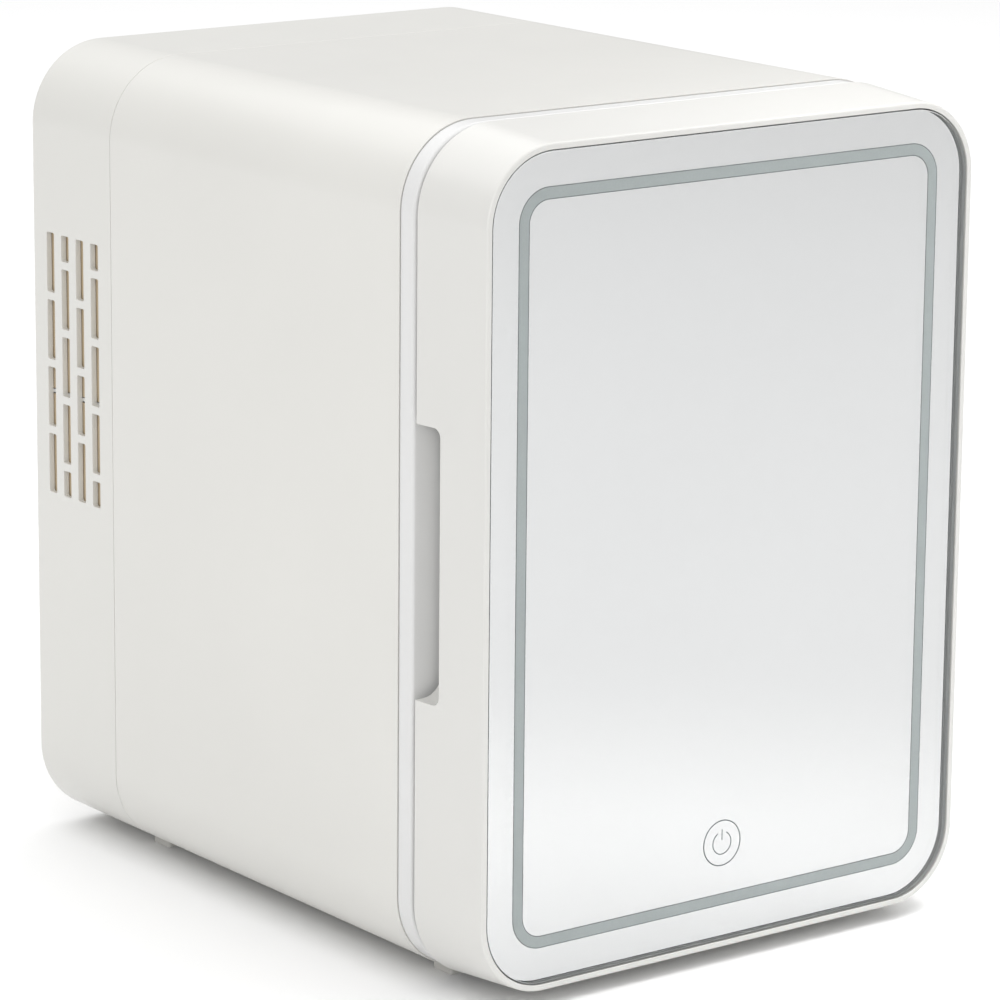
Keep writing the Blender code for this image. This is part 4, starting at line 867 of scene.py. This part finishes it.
# ---- Feet, screws, sockets ------------------------------------------------------------------
def make_feet(look):
    """Rubber feet: blocks with a stem through the shell and a hollow underside."""
    top = SHELL_LOW.z - GAP
    for name in ("front_left", "front_right", "rear_left", "rear_right"):
        node = "foot_" + name
        low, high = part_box(node)
        x, y = (low.x + high.x) / 2, (low.y + high.y) / 2
        foot = slab("rubber_foot_" + name, (low.x, high.x), (low.y, high.y), (0, top), look["rubber"],
                    corner=0.0015, axis=2, rim=0.0004)
        carve(foot, [rod("stem", 0.0025, (x, y, top - 0.0010), (x, y, high.z))], "UNION")
        carve(foot, [rod("hollow", 0.0030, (x, y, -OVER), (x, y, 0.0015))])
        soften(foot, 0.0002)
        stand_for(foot, "cabinet", "feet", node)


def make_screws(look):
    """Cover screws with domed heads and cross recesses."""
    for name in ("lower_left", "lower_right", "upper_left", "upper_right"):
        node = "cover_screw_" + name
        low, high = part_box(node)
        x, z = (low.x + high.x) / 2, (low.z + high.z) / 2
        top = high.y
        head = 0.0010
        profile = [(0, 0), (0.0012, -0.00004), (0.0023, -0.00017), (0.0030, -0.00038),
                   (0.0033, -0.00062), (0.0034, -head), (0.0013, -head), (0.0011, -0.0015),
                   (0.0011, low.y - top + 0.001), (0, low.y - top)]
        screw = lathe("cross_screw_" + name, profile, (x, top, z), (0, 1, 0), look["steel"], steps=40)
        arms = [slab("arm", (x - 0.0018, x + 0.0018), (top - 0.0006, top + OVER), (z - 0.0004, z + 0.0004)),
                slab("arm", (x - 0.0004, x + 0.0004), (top - 0.0006, top + OVER), (z - 0.0018, z + 0.0018))]
        carve(screw, arms)
        soften(screw, 0.00008)
        stand_for(screw, "cabinet", "steel", node)


def make_pins(look):
    """Contact pins in the mains inlet."""
    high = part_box("mains_inlet")[1]
    face = high.y - 0.0016
    for side, name in ((-1, "left"), (1, "right")):
        x = MAINS_X + side * 0.0043
        pin = rod("contact_pin_" + name, 0.00123, (x, face - 0.0110, SOCKET_HEIGHT),
                  (x, face - 0.0029, SOCKET_HEIGHT), look["steel"], steps=24)
        soften(pin, 0.0003, 3)
        stand_for(pin, "cabinet", "steel")


def keep_cad_nodes(look):
    """CAD nodes whose shape is right get their material and softened edges."""
    keep(["inner_liner"], look["liner"], 0.0009, 3)
    keep(["cold_fan_cover"], look["liner"], 0.0003)
    keep(["door_inner_panel"], look["panel"], 0.0008, 3)
    keep(["mirror_back_plate"], look["panel"], 0.0002)
    keep(["back_partition"], look["partition"], 0.0002)
    keep(["shelf", "door_bin"], look["clear"], 0.0004)
    keep(["light_guide"], look["guide"], 0.0002)
    keep(["led_strip"], look["lamp_board"], 0.0001)
    keep(["insulation_top", "insulation_bottom", "insulation_left", "insulation_right",
          "insulation_back", "door_insulation"], look["foam"], 0.0005)
    keep(["cold_sink", "heat_sink"], look["aluminium"], 0.0001, 1)
    keep(["cold_block"], look["aluminium"], 0.0003)
    keep(["thermoelectric_module"], look["ceramic"], 0.0001, 1)
    keep(["cold_fan_frame", "hot_fan_frame", "cold_fan_rotor", "hot_fan_rotor"], look["fan"], 0.0002)
    keep(["mode_switch_housing", "mains_inlet", "low_volt_inlet"], look["black"], 0.0002)
    keep(["mode_switch_rocker"], look["switch"], 0.0004, 3)
    keep(["power_supply_board", "control_board", "touch_board"], look["board"], 0.0001, 1)
    keep(["hinge_bush_lower", "hinge_bush_upper"], look["brass"], 0.0002)
    keep(["hinge_pin_lower", "hinge_pin_upper", "strike_plate_lower", "strike_plate_upper"],
         look["steel"], 0.0002)
    keep(["door_magnet_lower", "door_magnet_upper"], look["magnet"], 0.0003)
    keep(["fan_lead", "module_lead_black"], look["lead_black"], 0)
    keep(["module_lead_red"], look["lead_red"], 0)


# ---- Studio ---------------------------------------------------------------------------------
def make_floor():
    """A plain pale floor."""
    made = Finish("studio_floor", (0.93, 0.93, 0.93), 0.9)
    made.vary_colour(made.noise(2.0, 2.0), 0.004)
    shape = bmesh.new()
    bmesh.ops.create_grid(shape, x_segments=1, y_segments=1, size=6.0)
    floor = new_piece("floor", mesh_of("floor", shape), made.material)


def soft_light(name, place, target, size, power):
    """A square soft box that points at a target. Gives back its light data."""
    data = bpy.data.lights.new(name, "AREA")
    data.shape = "SQUARE"
    data.size = size
    data.energy = power
    light = bpy.data.objects.new(name, data)
    light.location = place
    aim = Vector(target) - Vector(place)
    light.rotation_euler = aim.to_track_quat("-Z", "Y").to_euler()
    bpy.context.scene.collection.objects.link(light)
    return data


def make_studio():
    """World, soft boxes and the view transform."""
    scene = bpy.context.scene
    scene.view_settings.view_transform = "Standard"
    world = bpy.data.worlds.new("studio")
    world.use_nodes = True
    world.node_tree.nodes["Background"].inputs["Color"].default_value = (1.0, 1.0, 1.0, 1.0)
    world.node_tree.nodes["Background"].inputs["Strength"].default_value = WORLD_STRENGTH
    scene.world = world
    centre = (0, 0, MIDDLE)
    soft_light("ceiling", (0.2, 0.4, 2.6), (0.2, 0.4, 0), 6.0, 132)
    soft_light("front_fill", (-1.6, -1.5, 0.8), centre, 1.0, 10)
    pool = soft_light("near_box", (0.14, -0.38, 0.70), (0.05, -0.20, 0), 0.25, 0.18)
    pool.spread = math.radians(50)


def make_camera():
    """The camera, aimed by its heading, its tilt and a slight roll."""
    data = bpy.data.cameras.new("camera")
    data.sensor_width = 36.0
    data.lens = CAMERA_LENS
    camera = bpy.data.objects.new("camera", data)
    camera.location = CAMERA_PLACE
    heading = Matrix.Rotation(math.radians(CAMERA_HEADING), 4, "Z")
    tilt = Matrix.Rotation(math.radians(90 - CAMERA_TILT), 4, "X")
    roll = Matrix.Rotation(math.radians(CAMERA_ROLL), 4, "Z")
    camera.rotation_euler = (heading @ tilt @ roll).to_euler()
    bpy.context.scene.collection.objects.link(camera)
    bpy.context.scene.camera = camera


def build():
    """Make every piece and the studio."""
    look = finishes()
    make_casing(look)
    make_rear_cover(look)
    make_painted_vent_light_sheets(look)
    make_door(look)
    make_mirror(look)
    make_gasket(look)
    make_lamps(look)
    make_feet(look)
    make_screws(look)
    make_pins(look)
    keep_cad_nodes(look)
    make_floor()
    make_studio()
    make_camera()


build()
